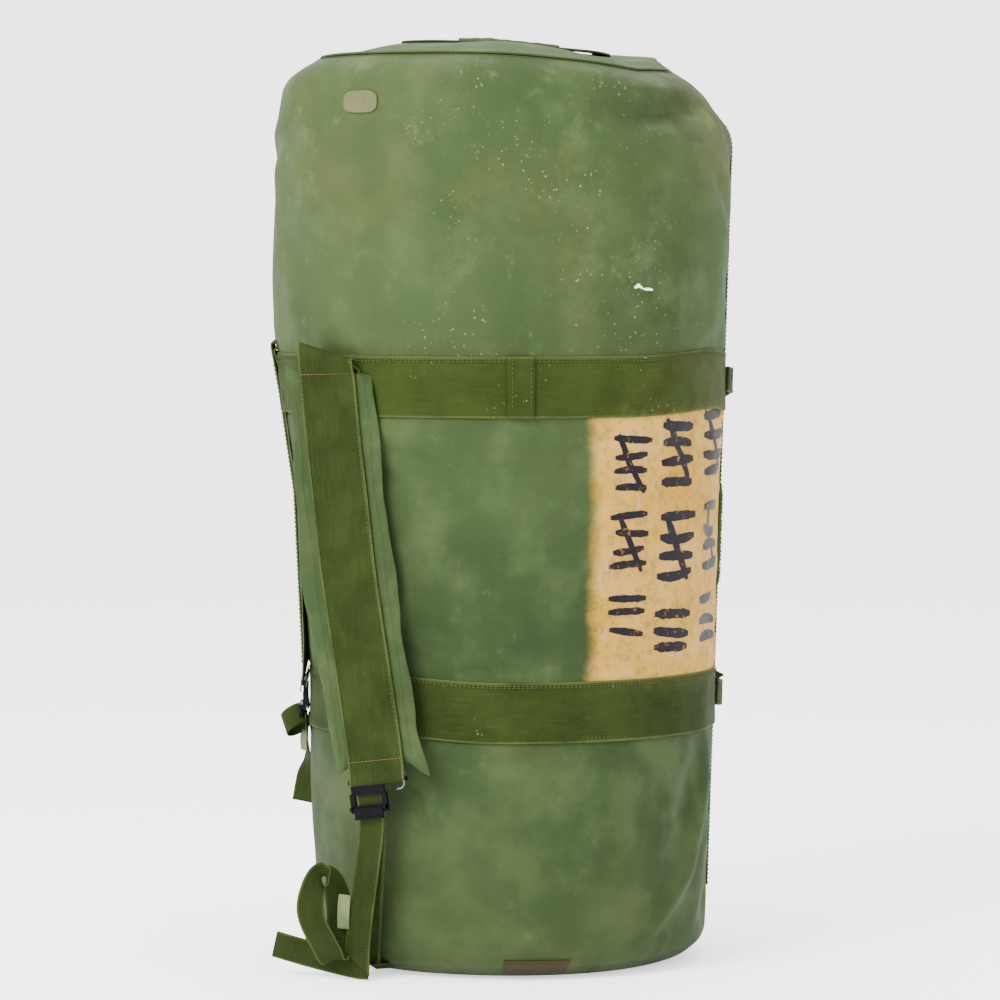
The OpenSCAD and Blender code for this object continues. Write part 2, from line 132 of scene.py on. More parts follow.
def creased(az, z):
    """How far the skin goes in at its creases, and out beside them."""
    total = np.zeros_like(z)
    for a0, z0, a1, z1, half, depth in CREASES:
        x, y = np.radians(turned(az, a0)) * 0.205, z - z0
        dx, dy = math.radians(a1 - a0) * 0.205, z1 - z0
        t = np.clip((x * dx + y * dy) / (dx * dx + dy * dy), 0, 1)
        d = np.hypot(x - t * dx, (y - t * dy))
        ends = np.sin(np.pi * (0.12 + 0.76 * t))
        total += depth * ends * (-near(d, 0, half) + 0.55 * near(d, 1.5 * half, half))
    return total


def settle(p):
    """Moves points of the skin and what is sewn on it from the smooth shape to the settled one."""
    p = np.array(p, float)
    x, y, z = p[:, 0], p[:, 1], p[:, 2]
    az = np.degrees(np.arctan2(x, -y))
    r = np.hypot(x, y)
    free = np.maximum(smooth(np.abs(turned(az, 180)), 26, 46), smooth(z, 0.775, 0.830))
    wall = smooth(r, 0.08, 0.17)
    left = np.clip(np.cos(np.radians(turned(az, -24))), 0, 1) ** 1.3
    # Towards the camera's left it leans in below and swells at the upper band
    heights = [0, 0.1, 0.25, 0.42, 0.457, 0.494, 0.54, 0.586, 0.633, 0.679, 0.725, 0.87]
    leans = [-0.007, -0.010, -0.008, -0.002, 0.0015, 0.0065, 0.0125, 0.0160, 0.0135, 0.0105, 0.0072, 0.004]
    lean = np.interp(z, heights, leans)
    swell = 0.0030 * np.sin(np.pi * np.clip((z - 0.60) / 0.25, 0, 1))
    swell += 0.0016 * np.sin(np.pi * np.clip((z - 0.29) / 0.23, 0, 1))
    swell += 0.0022 * np.sin(np.pi * np.clip((z - 0.03) / 0.18, 0, 1))
    lobes = 0.0022 * np.sin(np.radians(3 * az) + 9 * z + 0.6) * np.sin(8 * z + 1.0)
    lobes += 0.0014 * np.sin(np.radians(5 * az) - 14 * z)
    straps = near(turned(az, -21), 0, 16) * smooth(z, 0.2, 0.3) * (1 - smooth(z, 0.6, 0.66))
    dr = left * lean + (swell + lobes) * (1 - straps)
    banded = np.maximum(near(z, UPPER_Z, 0.042), near(z, LOWER_Z, 0.042))
    dr = dr + creased(az, z) * (1 - banded) * (1 - straps)
    # The hollow under the head's rim, where the filling has sunk
    sunk = 0.008 * near(az, 108, 34) * near(z, 0.824, 0.030)
    dr = dr - sunk + 0.005 * near(az, 118, 26) * near(z, 0.853, 0.018)
    # The head's corners have slumped inwards, most of all on the side towards the mouth
    slack = smooth(turned(az, 0) % 360, 84, 126) * (1 - smooth(turned(az, 0) % 360, 168, 206))
    dr = dr + slack * np.interp(z, [0.74, 0.777, 0.815, 0.829, 0.848, 0.876],
                                [0, -0.004, -0.014, -0.022, -0.031, -0.038])
    dr = dr + near(az, -24, 70) * np.interp(z, [0.79, 0.843, 0.860, 0.876], [0, -0.007, -0.011, -0.013])
    # A standing fold low on the side away from the straps
    ridge = np.interp(z, [0.03, 0.09, 0.22], [104, 124, 139])
    dr = dr + (0.0065 * near(turned(az, 0) - ridge, 0, 7) - 0.0045 * near(turned(az, 0) - ridge, -9, 8)) * (
        smooth(z, 0.02, 0.06) * (1 - smooth(z, 0.17, 0.23)))
    table = np.array(HEAD_DROP)
    at = turned(az, 30) + 30
    drop = sum(np.interp(at + k, table[:, 0], table[:, 1]) for k in (-10, -5, 0, 5, 10)) / 5
    high = smooth(z, 0.74, BAG_H - 0.004)
    slope = np.clip(x * 0.4067 + y * 0.9135 + 0.02, 0, 0.2) * 0.10
    rim = smooth(r, 0.10, 0.185)
    dz = -high * (drop * rim + slope * (1 - rim))
    o = out(az)
    # The bands have crept up a little where the bag is fullest
    creep = 0.006 * near(z, LOWER_Z, 0.07) * near(az, 30, 34) + 0.006 * near(z, UPPER_Z,
            0.08) * near(az, 132, 34)
    return p + o * (dr * free * wall)[:, None] + UP * (dz + creep * free)[:, None]


# Mesh makers

def new_mesh(name, verts, faces, uvs=None, material=None):
    me = bpy.data.meshes.new(name)
    me.from_pydata([tuple(v) for v in np.asarray(verts, float)], [],
                   [tuple(int(i) for i in f) for f in faces])
    me.polygons.foreach_set("use_smooth", [True] * len(me.polygons))
    if uvs is not None:
        layer = me.uv_layers.new(name="UVMap")
        idx = np.zeros(len(me.loops), int)
        me.loops.foreach_get("vertex_index", idx)
        layer.data.foreach_set("uv", np.asarray(uvs, np.float32)[idx].ravel())
    ob = bpy.data.objects.new(name, me)
    bpy.context.scene.collection.objects.link(ob)
    if material:
        me.materials.append(material)
    return ob


def grid_faces(rows, cols, closed=False):
    i, j = np.meshgrid(np.arange(rows - 1), np.arange(cols if closed else cols - 1), indexing="ij")
    a = i * cols + j
    b = i * cols + (j + 1) % cols
    return np.stack([a, b, b + cols, a + cols], -1).reshape(-1, 4)


def coords(ob):
    co = np.zeros(len(ob.data.vertices) * 3)
    ob.data.vertices.foreach_get("co", co)
    return co.reshape(-1, 3)


def set_coords(ob, co):
    ob.data.vertices.foreach_set("co", np.asarray(co, float).ravel())
    ob.data.update()


def place(ob, body, slot, *nodes):
    """ob rides on body and stands for nodes; slot is not used."""
    if body:
        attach(ob, body)
    if nodes:
        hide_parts(*nodes)
    return ob


def settled(ob):
    """Takes a mesh made on the smooth shape to the settled one."""
    set_coords(ob, settle(coords(ob)))
    return ob


def thicken(ob, t, offset=-1.0):
    m = ob.modifiers.new("thickness", "SOLIDIFY")
    m.thickness = t
    m.offset = offset
    m.use_even_offset = True
    return ob


def subdivide(ob):
    m = ob.modifiers.new("smooth", "SUBSURF")
    m.levels = 1
    m.render_levels = 1
    return ob


def bevel(ob, width, segments=3):
    m = ob.modifiers.new("worn edges", "BEVEL")
    m.width = width
    m.segments = segments
    m.limit_method = "ANGLE"
    m.angle_limit = math.radians(35)
    return ob


def catmull(points, per=12, closed=False):
    """A smooth curve through the points."""
    p = np.asarray(points, float)
    if len(p) < 3:
        return p[0] + (p[1] - p[0]) * np.linspace(0, 1, per + 1)[:, None]
    ext = np.vstack([p[-1], p, p[0], p[1]]) if closed else np.vstack([2 * p[0] - p[1], p,
                                                                      2 * p[-1] - p[-2]])
    spans = len(p) if closed else len(p) - 1
    made = []
    for k in range(spans):
        a, b, c, d = ext[k:k + 4]
        t = np.linspace(0, 1, per, endpoint=False)[:, None]
        made.append(0.5 * (2 * b + (c - a) * t + (2 * a - 5 * b + 4 * c - d) * t ** 2
                           + (3 * b - a - 3 * c + d) * t ** 3))
    last = p[:1] if closed else p[-1:]
    return np.vstack(made + [last])


def resample(p, step, *more):
    """Points a step apart along p, with the same for the lists that go with it."""
    s = np.concatenate([[0], np.cumsum(np.linalg.norm(np.diff(p, axis=0), axis=1))])
    n = max(int(round(s[-1] / step)), 2) + 1
    at = np.linspace(0, s[-1], n)
    def one(a):
        return np.stack([np.interp(at, s, a[:, k]) for k in range(a.shape[1])], -1)
    return (one(p), at, *[one(np.asarray(m, float)) for m in more])


def unit(v):
    return v / np.maximum(np.linalg.norm(v, axis=-1, keepdims=True), 1e-9)


def ribbon(name, path, across, width, thick, material, closed=False, step=0.004, per=10):
    """A flat web along path: across is the direction of its width, at each point or everywhere."""
    path = np.asarray(path, float)
    across = np.broadcast_to(np.asarray(across, float), path.shape)
    p, s, a = resample(catmull(path, per, closed), step, catmull(across, per, closed))
    t = unit(np.gradient(p, axis=0))
    if closed:
        t[0] = t[-1] = unit(p[1] - p[-2])
    a = unit(a - (a * t).sum(1, keepdims=True) * t)
    n = np.cross(t, a)
    e = min(thick * 0.45, 0.0009)
    w, h = width / 2, thick / 2
    xs = np.linspace(-w + e, w - e, 9)
    top = [(x, h * (1 - 0.10 * math.cos(math.pi * 4 * x / w))) for x in xs]
    section = top + [(w - e * 0.25, h * 0.55), (w, 0.0), (w - e * 0.25, -h * 0.55)]
    section += [(x, -h) for x in xs[::-1]] + [(-w + e * 0.25, -h * 0.55), (-w, 0.0),
                                              (-w + e * 0.25, h * 0.55)]
    section = np.array(section)
    rows, cols = len(p), len(section)
    v = p[:, None] + a[:, None] * section[None, :, 0][..., None] + n[:, None] * section[None, :, 1][...,
            None]
    uv = np.stack(np.broadcast_arrays(section[None, :, 0] + w, s[:, None]), -1)
    faces = [tuple(f) for f in grid_faces(rows, cols, True)]
    if not closed:
        faces += [tuple(range(cols))[::-1], tuple(range((rows - 1) * cols, rows * cols))]
    return new_mesh(name, v.reshape(-1, 3), faces, uv.reshape(-1, 2), material)


def tube(name, path, radius, material, closed=False, sides=8, per=1):
    """A round rod or cord along path."""
    p = catmull(path, per, closed) if per > 1 else np.asarray(path, float)
    t = unit(np.gradient(p, axis=0))
    ref = np.where(np.abs(t[:, 2:3]) > 0.9, [[1.0, 0.0, 0.0]], [[0.0, 0.0, 1.0]])
    a = unit(np.cross(t, ref))
    b = np.cross(t, a)
    ang = np.arange(sides) * 2 * np.pi / sides
    ring = np.cos(ang)[None, :, None] * a[:, None] + np.sin(ang)[None, :, None] * b[:, None]
    v = p[:, None] + ring * radius
    s = np.concatenate([[0], np.cumsum(np.linalg.norm(np.diff(p, axis=0), axis=1))])
    uv = np.stack(np.broadcast_arrays(ang[None, :] * radius, s[:, None]), -1)
    rows = len(p)
    faces = [tuple(f) for f in grid_faces(rows, sides, True)]
    if not closed:
        faces += [tuple(range(sides))[::-1], tuple(range((rows - 1) * sides, rows * sides))]
    return new_mesh(name, v.reshape(-1, 3), faces, uv.reshape(-1, 2), material)


def stitches(name, lines, material, pitch=0.0042, length=0.0030, radius=0.00042):
    """Rows of thread: each line is (points on the cloth, outward normals)."""
    verts, faces = [], []
    ring = [(math.cos(k * math.pi / 3), math.sin(k * math.pi / 3)) for k in range(6)]
    for points, normals in lines:
        points = np.asarray(points, float)
        normals = np.broadcast_to(np.asarray(normals, float), points.shape)
        p, _, n = resample(points, pitch, normals)
        t = unit(np.gradient(p, axis=0))
        n = unit(n)
        b = np.cross(t, n)
        for q, tt, nn, bb in zip(p, t, n, b):
            base = len(verts)
            for along_by, lift, size in ((-0.5, -0.3, 0.5), (-0.28, 0.35, 1.0), (0.28, 0.35, 1.0),
                                         (0.5, -0.3, 0.5)):
                c = q + tt * (along_by * length) + nn * (lift * radius)
                verts += [c + (bb * u + nn * v) * (radius * size) for u, v in ring]
            for r in range(3):
                for k in range(6):
                    m = (k + 1) % 6
                    faces.append((base + r * 6 + k, base + r * 6 + m, base + r * 6 + 6 + m,
                                  base + r * 6 + 6 + k))
    return new_mesh(name, verts, faces, None, material)


def hoop_sheet(name, z0, z1, az0, az1, lift, thick, material):
    """A piece of cloth that follows the bag's side, lift is its underside."""
    step = 0.005
    nz = max(int((z1 - z0) / step), 3) + 1
    na = max(int(math.radians(az1 - az0) * 0.2 / step), 3) + 1
    z = np.linspace(z0, z1, nz)[:, None]
    az = np.linspace(az0, az1, na)[None, :]
    p = side(az, z, 0) + out(np.broadcast_to(az, (nz, na))) * lift
    uv = np.stack(np.broadcast_arrays(np.radians(az - az0) * 0.2, z - z0), -1)
    faces = grid_faces(nz, na)
    ob = new_mesh(name, p.reshape(-1, 3), faces, uv.reshape(-1, 2), material)
    return thicken(ob, thick, 1.0)


def inflate(ob, pinned, pressure, grow, frames, cap, bend=0.6, stiff=15.0):
    """Cloth under pressure, with the pinned points held, and its result kept in the mesh."""
    rest = coords(ob)
    group = ob.vertex_groups.new(name="held")
    group.add([int(k) for k in np.flatnonzero(pinned)], 1.0, "REPLACE")
    mod = ob.modifiers.new("Cloth", "CLOTH")
    s = mod.settings
    s.quality = 4
    s.mass = 0.25
    s.tension_stiffness = stiff
    s.compression_stiffness = stiff
    s.shear_stiffness = stiff * 0.4
    s.bending_stiffness = bend
    s.use_pressure = True
    s.uniform_pressure_force = pressure
    s.shrink_min = grow
    s.vertex_group_mass = "held"
    s.effector_weights.gravity = 0
    mod.collision_settings.use_collision = False
    mod.collision_settings.use_self_collision = False
    mod.point_cache.frame_start = 1
    mod.point_cache.frame_end = frames
    for f in range(1, frames + 1):
        bpy.context.scene.frame_set(f)
    dg = bpy.context.evaluated_depsgraph_get()
    got = np.zeros(len(rest) * 3)
    ob.evaluated_get(dg).data.vertices.foreach_get("co", got)
    ob.modifiers.remove(mod)
    ob.vertex_groups.remove(group)
    bpy.context.scene.frame_set(1)
    move = got.reshape(-1, 3) - rest
    far = np.linalg.norm(move, axis=1, keepdims=True)
    move = move / np.maximum(far, 1e-9) * cap * np.tanh(far / cap)
    set_coords(ob, rest + move)


# Materials

class Shader:
    """A Principled material and short ways to add nodes to it."""

    def __init__(self, name, **sockets):
        self.material = bpy.data.materials.new(name)
        self.material.use_nodes = True
        self.tree = self.material.node_tree
        self.bsdf = self.tree.nodes["Principled BSDF"]
        for key, value in sockets.items():
            self.bsdf.inputs[key.replace("_", " ")].default_value = value

    def put(self, socket, value):
        if isinstance(value, bpy.types.NodeSocket):
            self.tree.links.new(value, socket)
        elif value is not None:
            socket.default_value = value

    def math(self, op, a, b=None, c=None, clamp=False):
        n = self.tree.nodes.new("ShaderNodeMath")
        n.operation = op
        n.use_clamp = clamp
        for socket, value in zip(n.inputs, (a, b, c)):
            self.put(socket, value)
        return n.outputs[0]

    def times(self, a, b):
        return self.math("MULTIPLY", a, b)

    def times_plus(self, a, b, c):
        return self.math("MULTIPLY_ADD", a, b, c)

    def mix(self, factor, a, b):
        n = self.tree.nodes.new("ShaderNodeMix")
        n.data_type = "RGBA"
        for k, value in ((0, factor), (6, a), (7, b)):
            self.put(n.inputs[k], (*value, 1) if isinstance(value, tuple) else value)
        return n.outputs[2]

    def span(self, value, lo, hi, to_lo=0.0, to_hi=1.0):
        n = self.tree.nodes.new("ShaderNodeMapRange")
        n.interpolation_type = "SMOOTHSTEP"
        for k, v in enumerate((value, lo, hi, to_lo, to_hi)):
            self.put(n.inputs[k], v)
        return n.outputs[0]

    def coord(self, kind="UV"):
        n = self.tree.nodes.new("ShaderNodeTexCoord")
        return n.outputs[kind]

    def parts(self, vector):
        n = self.tree.nodes.new("ShaderNodeSeparateXYZ")
        self.put(n.inputs[0], vector)
        return n.outputs[0], n.outputs[1], n.outputs[2]

    def join(self, x, y):
        n = self.tree.nodes.new("ShaderNodeCombineXYZ")
        for socket, value in zip(n.inputs, (x, y)):
            self.put(socket, value)
        return n.outputs[0]

    def noise(self, vector, scale, detail=3.0, rough=0.55):
        n = self.tree.nodes.new("ShaderNodeTexNoise")
        self.put(n.inputs["Vector"], vector)
        n.inputs["Scale"].default_value = scale
        n.inputs["Detail"].default_value = detail
        n.inputs["Roughness"].default_value = rough
        return n.outputs[0]

    def cells(self, vector, scale):
        n = self.tree.nodes.new("ShaderNodeTexVoronoi")
        self.put(n.inputs["Vector"], vector)
        n.inputs["Scale"].default_value = scale
        return n.outputs["Distance"]

    def wave(self, value, pitch):
        """0 to 1 and back in each pitch."""
        turn = self.times(value, 2 * math.pi / pitch)
        return self.times_plus(self.math("SINE", turn), 0.5, 0.5)

    def window(self, value, lo, hi, soft):
        """1 between lo and hi, fading over soft."""
        up = self.span(value, lo - soft / 2, lo + soft / 2)
        down = self.span(value, hi - soft / 2, hi + soft / 2, 1.0, 0.0)
        return self.times(up, down)

    def finish(self, colour, rough, height=None, strength=0.3, distance=0.0006):
        self.put(self.bsdf.inputs["Base Color"], colour)
        self.put(self.bsdf.inputs["Roughness"], rough)
        if height is not None:
            b = self.tree.nodes.new("ShaderNodeBump")
            b.inputs["Strength"].default_value = strength
            b.inputs["Distance"].default_value = distance
            self.put(b.inputs["Height"], height)
            self.put(self.bsdf.inputs["Normal"], b.outputs[0])
        return self.material


BODY_DARK = (0.0138, 0.0255, 0.0068)
BODY_MID = (0.0222, 0.0375, 0.0110)
BODY_PALE = (0.0545, 0.0860, 0.0270)
WEB_DARK = (0.0056, 0.0106, 0.0008)
WEB_MID = (0.0115, 0.0205, 0.0018)
WEB_PALE = (0.0290, 0.0430, 0.0060)
YELLOW = (0.3250, 0.1720, 0.0170)


def plain_weave(s, u, v, pitch):
    """Height of a plain weave on cloth coordinates in metres."""
    a = s.wave(u, pitch)
    b = s.wave(v, pitch)
    over = s.times(a, s.math("SUBTRACT", 1.0, b))
    under = s.times(b, s.math("SUBTRACT", 1.0, a))
    return s.math("MAXIMUM", over, under)


def spray(s, az, z, broken):
    """The sprayed field: its place on the bag, with a feathered first edge."""
    first = s.times_plus(broken, 5.0, 85.5)
    edge = s.span(s.math("SUBTRACT", az, first), -2.2, 3.2)
    last = s.span(az, 160, 171, 1.0, 0.0)
    low = s.times_plus(broken, 0.006, 0.270)
    bottom = s.span(s.math("SUBTRACT", z, low), 0.0, 0.010)
    high = s.times_plus(broken, 0.014, 0.530)
    top = s.span(s.math("SUBTRACT", z, high), -0.003, 0.010, 1.0, 0.0)
    return s.times(s.times(edge, last), s.times(bottom, top))


def bag_place(s):
    """Azimuth in degrees, height and the vector of a point on the bag."""
    vector = s.coord("Object")
    x, y, z = s.parts(vector)
    az = s.times(s.math("ARCTAN2", x, s.times(y, -1.0)), 180 / math.pi)
    return vector, az, z


def canvas(name, bag=False, pale=0.0):
    """Coated nylon canvas: plain weave, fading, stains, and on the bag its own paint and wear, with painted
    light making it paler towards its top and left.
    """
    s = Shader(name, Specular_IOR_Level=0.10)
    u, v, _ = s.parts(s.coord("UV"))
    where, az, z = bag_place(s)
    broad = s.noise(where, 5.0, 3.0)
    blotch = s.noise(where, 19.0, 4.0, 0.6)
    fine = s.noise(where, 260.0, 2.0)
    colour = s.mix(s.span(broad, 0.30, 0.72), BODY_DARK, BODY_MID)
    paling = s.times(s.span(blotch, 0.42, 0.75), 0.35)
    colour = s.mix(s.math("ADD", paling, pale, clamp=True), colour, BODY_PALE)
    height = plain_weave(s, u, v, 0.0011)
    if bag:
        # Painted light: the canvas is made paler towards the top and towards the left, where the light falls
        up = s.times(s.span(z, 0.30, 0.90), s.span(broad, 0.15, 0.75, 0.55, 1.0))
        left = s.span(az, 0, 120, 0.42, 0.30)
        colour = s.mix(s.times(up, left), colour, BODY_PALE)
        dust = s.times(s.span(s.noise(where, 9.0, 4.0, 0.65), 0.48, 0.70),
                       s.span(z, 0.45, 0.75, 0.12, 0.42))
        colour = s.mix(dust, colour, (0.060, 0.062, 0.018))
        chalk = s.times(s.span(s.noise(where, 13.0, 5.0, 0.7), 0.55, 0.75),
                        s.span(z, 0.55, 0.85, 0.10, 0.40))
        colour = s.mix(chalk, colour, (0.110, 0.150, 0.060))
        grime = s.times(s.span(blotch, 0.50, 0.80), s.span(z, 0.05, 0.26, 0.45, 0.0))
        colour = s.mix(grime, colour, (0.020, 0.024, 0.009))
        rub = s.times(s.span(s.noise(where, 42.0, 5.0, 0.7), 0.60, 0.74), s.span(z, 0.10, 0.70, 0.12, 0.30))
        colour = s.mix(rub, colour, (0.115, 0.140, 0.060))
        # Flecks of pale paint, thickest on the front above the upper band
        size = s.span(s.noise(where, 110.0, 2.0), 0.35, 0.65, 0.03, 0.15)
        fleck = s.span(s.math("SUBTRACT", s.cells(where, 190.0), size), 0.0, 0.07, 1.0, 0.0)
        few = s.span(s.noise(where, 14.0, 3.0), 0.44, 0.64)
        zone = s.times(s.window(az, 44, 110, 20.0), s.window(z, 0.56, 0.86, 0.10))
        fleck = s.times(s.times(fleck, few), s.times_plus(zone, 0.60, 0.05))
        colour = s.mix(fleck, colour, (0.26, 0.25, 0.12))
        # A white scuff beside the front
        wobble = s.times(s.math("SUBTRACT", s.noise(where, 60.0, 2.0), 0.5), 0.016)
        line = s.math("ABSOLUTE", s.math("SUBTRACT", s.math("ADD", z, wobble), 0.6455))
        scuff = s.times(s.span(line, 0.0007, 0.0019, 1.0, 0.0), s.window(az, 99.0, 104.5, 0.8))
        colour = s.mix(scuff, colour, (0.85, 0.85, 0.82))
        broken = s.noise(where, 34.0, 4.0, 0.65)
        paint = spray(s, az, z, broken)
        worn = s.span(s.noise(where, 95.0, 5.0, 0.75), 0.36, 0.52)
        tint = s.mix(s.span(blotch, 0.3, 0.7), YELLOW, (0.380, 0.225, 0.050))
        tint = s.mix(s.times(s.span(s.noise(where, 70.0, 3.0), 0.62, 0.72), 0.35), tint, (0.30, 0.22, 0.26))
        # Dark grit rubbed into the paint
        grit = s.times(s.span(s.noise(where, 210.0, 4.0, 0.7), 0.60, 0.70),
                       s.span(s.noise(where, 30.0, 2.0), 0.40, 0.65, 0.1, 0.8))
        tint = s.mix(grit, tint, (0.10, 0.085, 0.05))
        cover = s.times(paint, s.times_plus(worn, 0.35, 0.65))
        colour = s.mix(cover, colour, tint)
        height = s.times(height, s.times_plus(cover, -0.45, 1.0))
    colour = s.mix(s.times(fine, 0.16), colour, (0.012, 0.020, 0.006))
    rough = s.span(blotch, 0.2, 0.8, 0.86, 0.66)
    height = s.times_plus(s.noise(where, 55.0, 3.0), 1.6, height)
    return s.finish(colour, rough, height, 0.32, 0.0006)


def webbing(name, width, bag=False, dark=0.0):
    """Woven web: ribs across it, a herringbone of fine threads, a thick paler selvedge, wear on its edges."""
    s = Shader(name, Specular_IOR_Level=0.08)
    u, v, _ = s.parts(s.coord("UV"))
    where, az, z = bag_place(s)
    rib = s.wave(s.times_plus(u, 0.45, v), 0.0026)
    thread = s.wave(s.times_plus(v, -0.3, u), 0.0013)
    edge = s.math("MINIMUM", u, s.math("SUBTRACT", width, u))
    selvedge = s.span(edge, 0.0012, 0.0026, 1.0, 0.0)
    blotch = s.noise(where, 21.0, 4.0, 0.6)
    streak = s.noise(s.join(s.times(u, 900.0), s.times(v, 30.0)), 1.0, 2.0)
    colour = s.mix(s.span(blotch, 0.30, 0.72), WEB_DARK, WEB_MID)
    colour = s.mix(s.times(s.times(rib, thread), 0.50), colour, WEB_PALE)
    colour = s.mix(s.times(s.span(streak, 0.45, 0.75), 0.30), colour, WEB_PALE)
    colour = s.mix(s.times(selvedge, s.span(blotch, 0.30, 0.62, 0.25, 0.65)), colour, (0.055, 0.070, 0.018))
    if dark:
        colour = s.mix(dark, colour, (0.008, 0.013, 0.002))
    if bag:
        # The web is made paler higher up the bag
        paling = s.times(s.span(z, 0.25, 0.60), 0.20)
        colour = s.mix(paling, colour, WEB_PALE)
        mist = s.times(s.span(az, 78, 104), s.times(s.span(az, 158, 170, 1.0, 0.0), 0.30))
        reach = s.math("MAXIMUM", s.span(z, 0.524, 0.552, 1.0, 0.0), 0.22)
        reach = s.times(reach, s.span(z, 0.262, 0.285))
        colour = s.mix(s.times(s.times(mist, reach), s.span(s.noise(where, 60.0, 3.0), 0.3, 0.6)),
                       colour, (0.075, 0.070, 0.014))
        fleck = s.span(s.cells(where, 170.0), 0.09, 0.18, 1.0, 0.0)
        few = s.span(s.noise(where, 25.0, 2.0), 0.58, 0.66)
        colour = s.mix(s.times(s.times(fleck, few), 0.6), colour, (0.15, 0.165, 0.085))
    height = s.math("ADD", s.times(rib, 0.8), s.times(thread, 0.4))
    height = s.math("ADD", height, s.times(selvedge, 0.8))
    rough = s.span(blotch, 0.2, 0.8, 0.90, 0.70)
    return s.finish(colour, rough, height, 0.45, 0.0006)


def steel(name, base=(0.0014, 0.0013, 0.0024), rough=0.12):
    """Black enamel over steel, worn to a dull grey on its edges."""
    s = Shader(name, Specular_IOR_Level=0.05)
    where = s.coord("Object")
    chip = s.span(s.noise(where, 240.0, 4.0, 0.7), 0.66, 0.72)
    haze = s.noise(where, 60.0, 3.0)
    colour = s.mix(s.times(chip, 0.5), base, (0.05, 0.05, 0.055))
    return s.finish(colour, s.span(haze, 0.3, 0.7, rough, rough + 0.18), s.noise(where, 420.0, 2.0), 0.12,
                    0.0002)


def thread_mat(name, tint):
    s = Shader(name, Specular_IOR_Level=0.2)
    where = s.coord("Object")
    n = s.noise(where, 300.0, 2.0)
    colour = s.mix(n, tint, tuple(c * 0.6 for c in tint))
    return s.finish(colour, s.span(n, 0.2, 0.8, 0.75, 0.9), s.noise(where, 2400.0, 1.0), 0.3, 0.0002)


def patch_mat(name, tint, dirt, pitch=0.0013):
    s = Shader(name, Specular_IOR_Level=0.2)
    where = s.coord("Object")
    u, v, _ = s.parts(s.coord("UV"))
    n = s.noise(where, 75.0, 4.0, 0.65)
    colour = s.mix(s.span(n, 0.35, 0.75), tint, dirt)
    colour = s.mix(s.times(s.noise(where, 500.0, 2.0), 0.3), colour, dirt)
    return s.finish(colour, s.span(n, 0.2, 0.8, 0.92, 0.78), plain_weave(s, u, v, pitch), 0.5, 0.0005)


def ink_mat():
    """Marker ink on the sprayed paint, rubbed thin."""
    s = Shader("marker_ink", Specular_IOR_Level=0.10)
    where = s.coord("Object")
    rubbed = s.span(s.noise(where, 120.0, 5.0, 0.7), 0.58, 0.72)
    colour = s.mix(s.times(rubbed, 0.75), (0.0035, 0.0030, 0.0060), YELLOW)
    return s.finish(colour, s.span(rubbed, 0.0, 1.0, 0.55, 0.85), s.noise(where, 400.0, 2.0), 0.2, 0.0003)


M = {
    "ink": ink_mat(),
    "bag": canvas("bag_canvas", bag=True),
    "panel": canvas("panel_canvas", pale=0.38),
    "plain": canvas("plain_canvas", pale=0.06),
    "pad": canvas("pad_canvas", pale=0.10),
    "band": webbing("band_webbing", WIDE, bag=True),
    "strap": webbing("strap_webbing", WIDE, dark=0.10),
    "narrow": webbing("narrow_webbing", NARROW, dark=0.35),
    "handle": webbing("handle_webbing", 0.025),
    "tape": patch_mat("zip_tape_cloth", (0.014, 0.022, 0.004), (0.007, 0.011, 0.002), 0.0009),
    "steel": steel("black_steel"),
    "coil": steel("zip_coil_nylon", (0.008, 0.009, 0.008), 0.38),
    "wire": steel("bare_wire", (0.10, 0.095, 0.085), 0.3),
    "thread": thread_mat("green_thread", (0.038, 0.052, 0.013)),
    "tan_thread": thread_mat("tan_thread", (0.085, 0.052, 0.014)),
    "keeper": patch_mat("keeper_web", (0.100, 0.125, 0.055), (0.050, 0.065, 0.025)),
    "tan": patch_mat("tan_patch_cloth", (0.088, 0.088, 0.036), (0.062, 0.066, 0.026)),
    "brown": patch_mat("brown_patch_cloth", (0.026, 0.0175, 0.0045), (0.015, 0.012, 0.003)),
}


# The bag's skin

def profile_rows():
    """(radius, height) up the bag's outer surface, from the foot seam to the head seam."""
    lo_r, hi_r = float(r_at(RIM)) - RIM, float(r_at(BAG_H - RIM)) - RIM
    rows = []
    for a in np.linspace(-RIM_END, 0, 11):
        rows.append((lo_r + RIM * math.cos(math.radians(a)), RIM + RIM * math.sin(math.radians(a))))
    zs = [z for z in np.arange(RIM + 0.007, MOUTH_LO - 0.003, 0.007)]
    zs += list(np.linspace(MOUTH_LO, MOUTH_HI, 108)) + list(np.linspace(MOUTH_HI, BAG_H - RIM, 6)[1:-1])
    rows += [(float(r_at(z)), z) for z in zs]
    for a in np.linspace(0, RIM_END, 11):
        rows.append((hi_r + RIM * math.cos(math.radians(a)), BAG_H - RIM + RIM * math.sin(math.radians(a))))
    return np.array(rows)


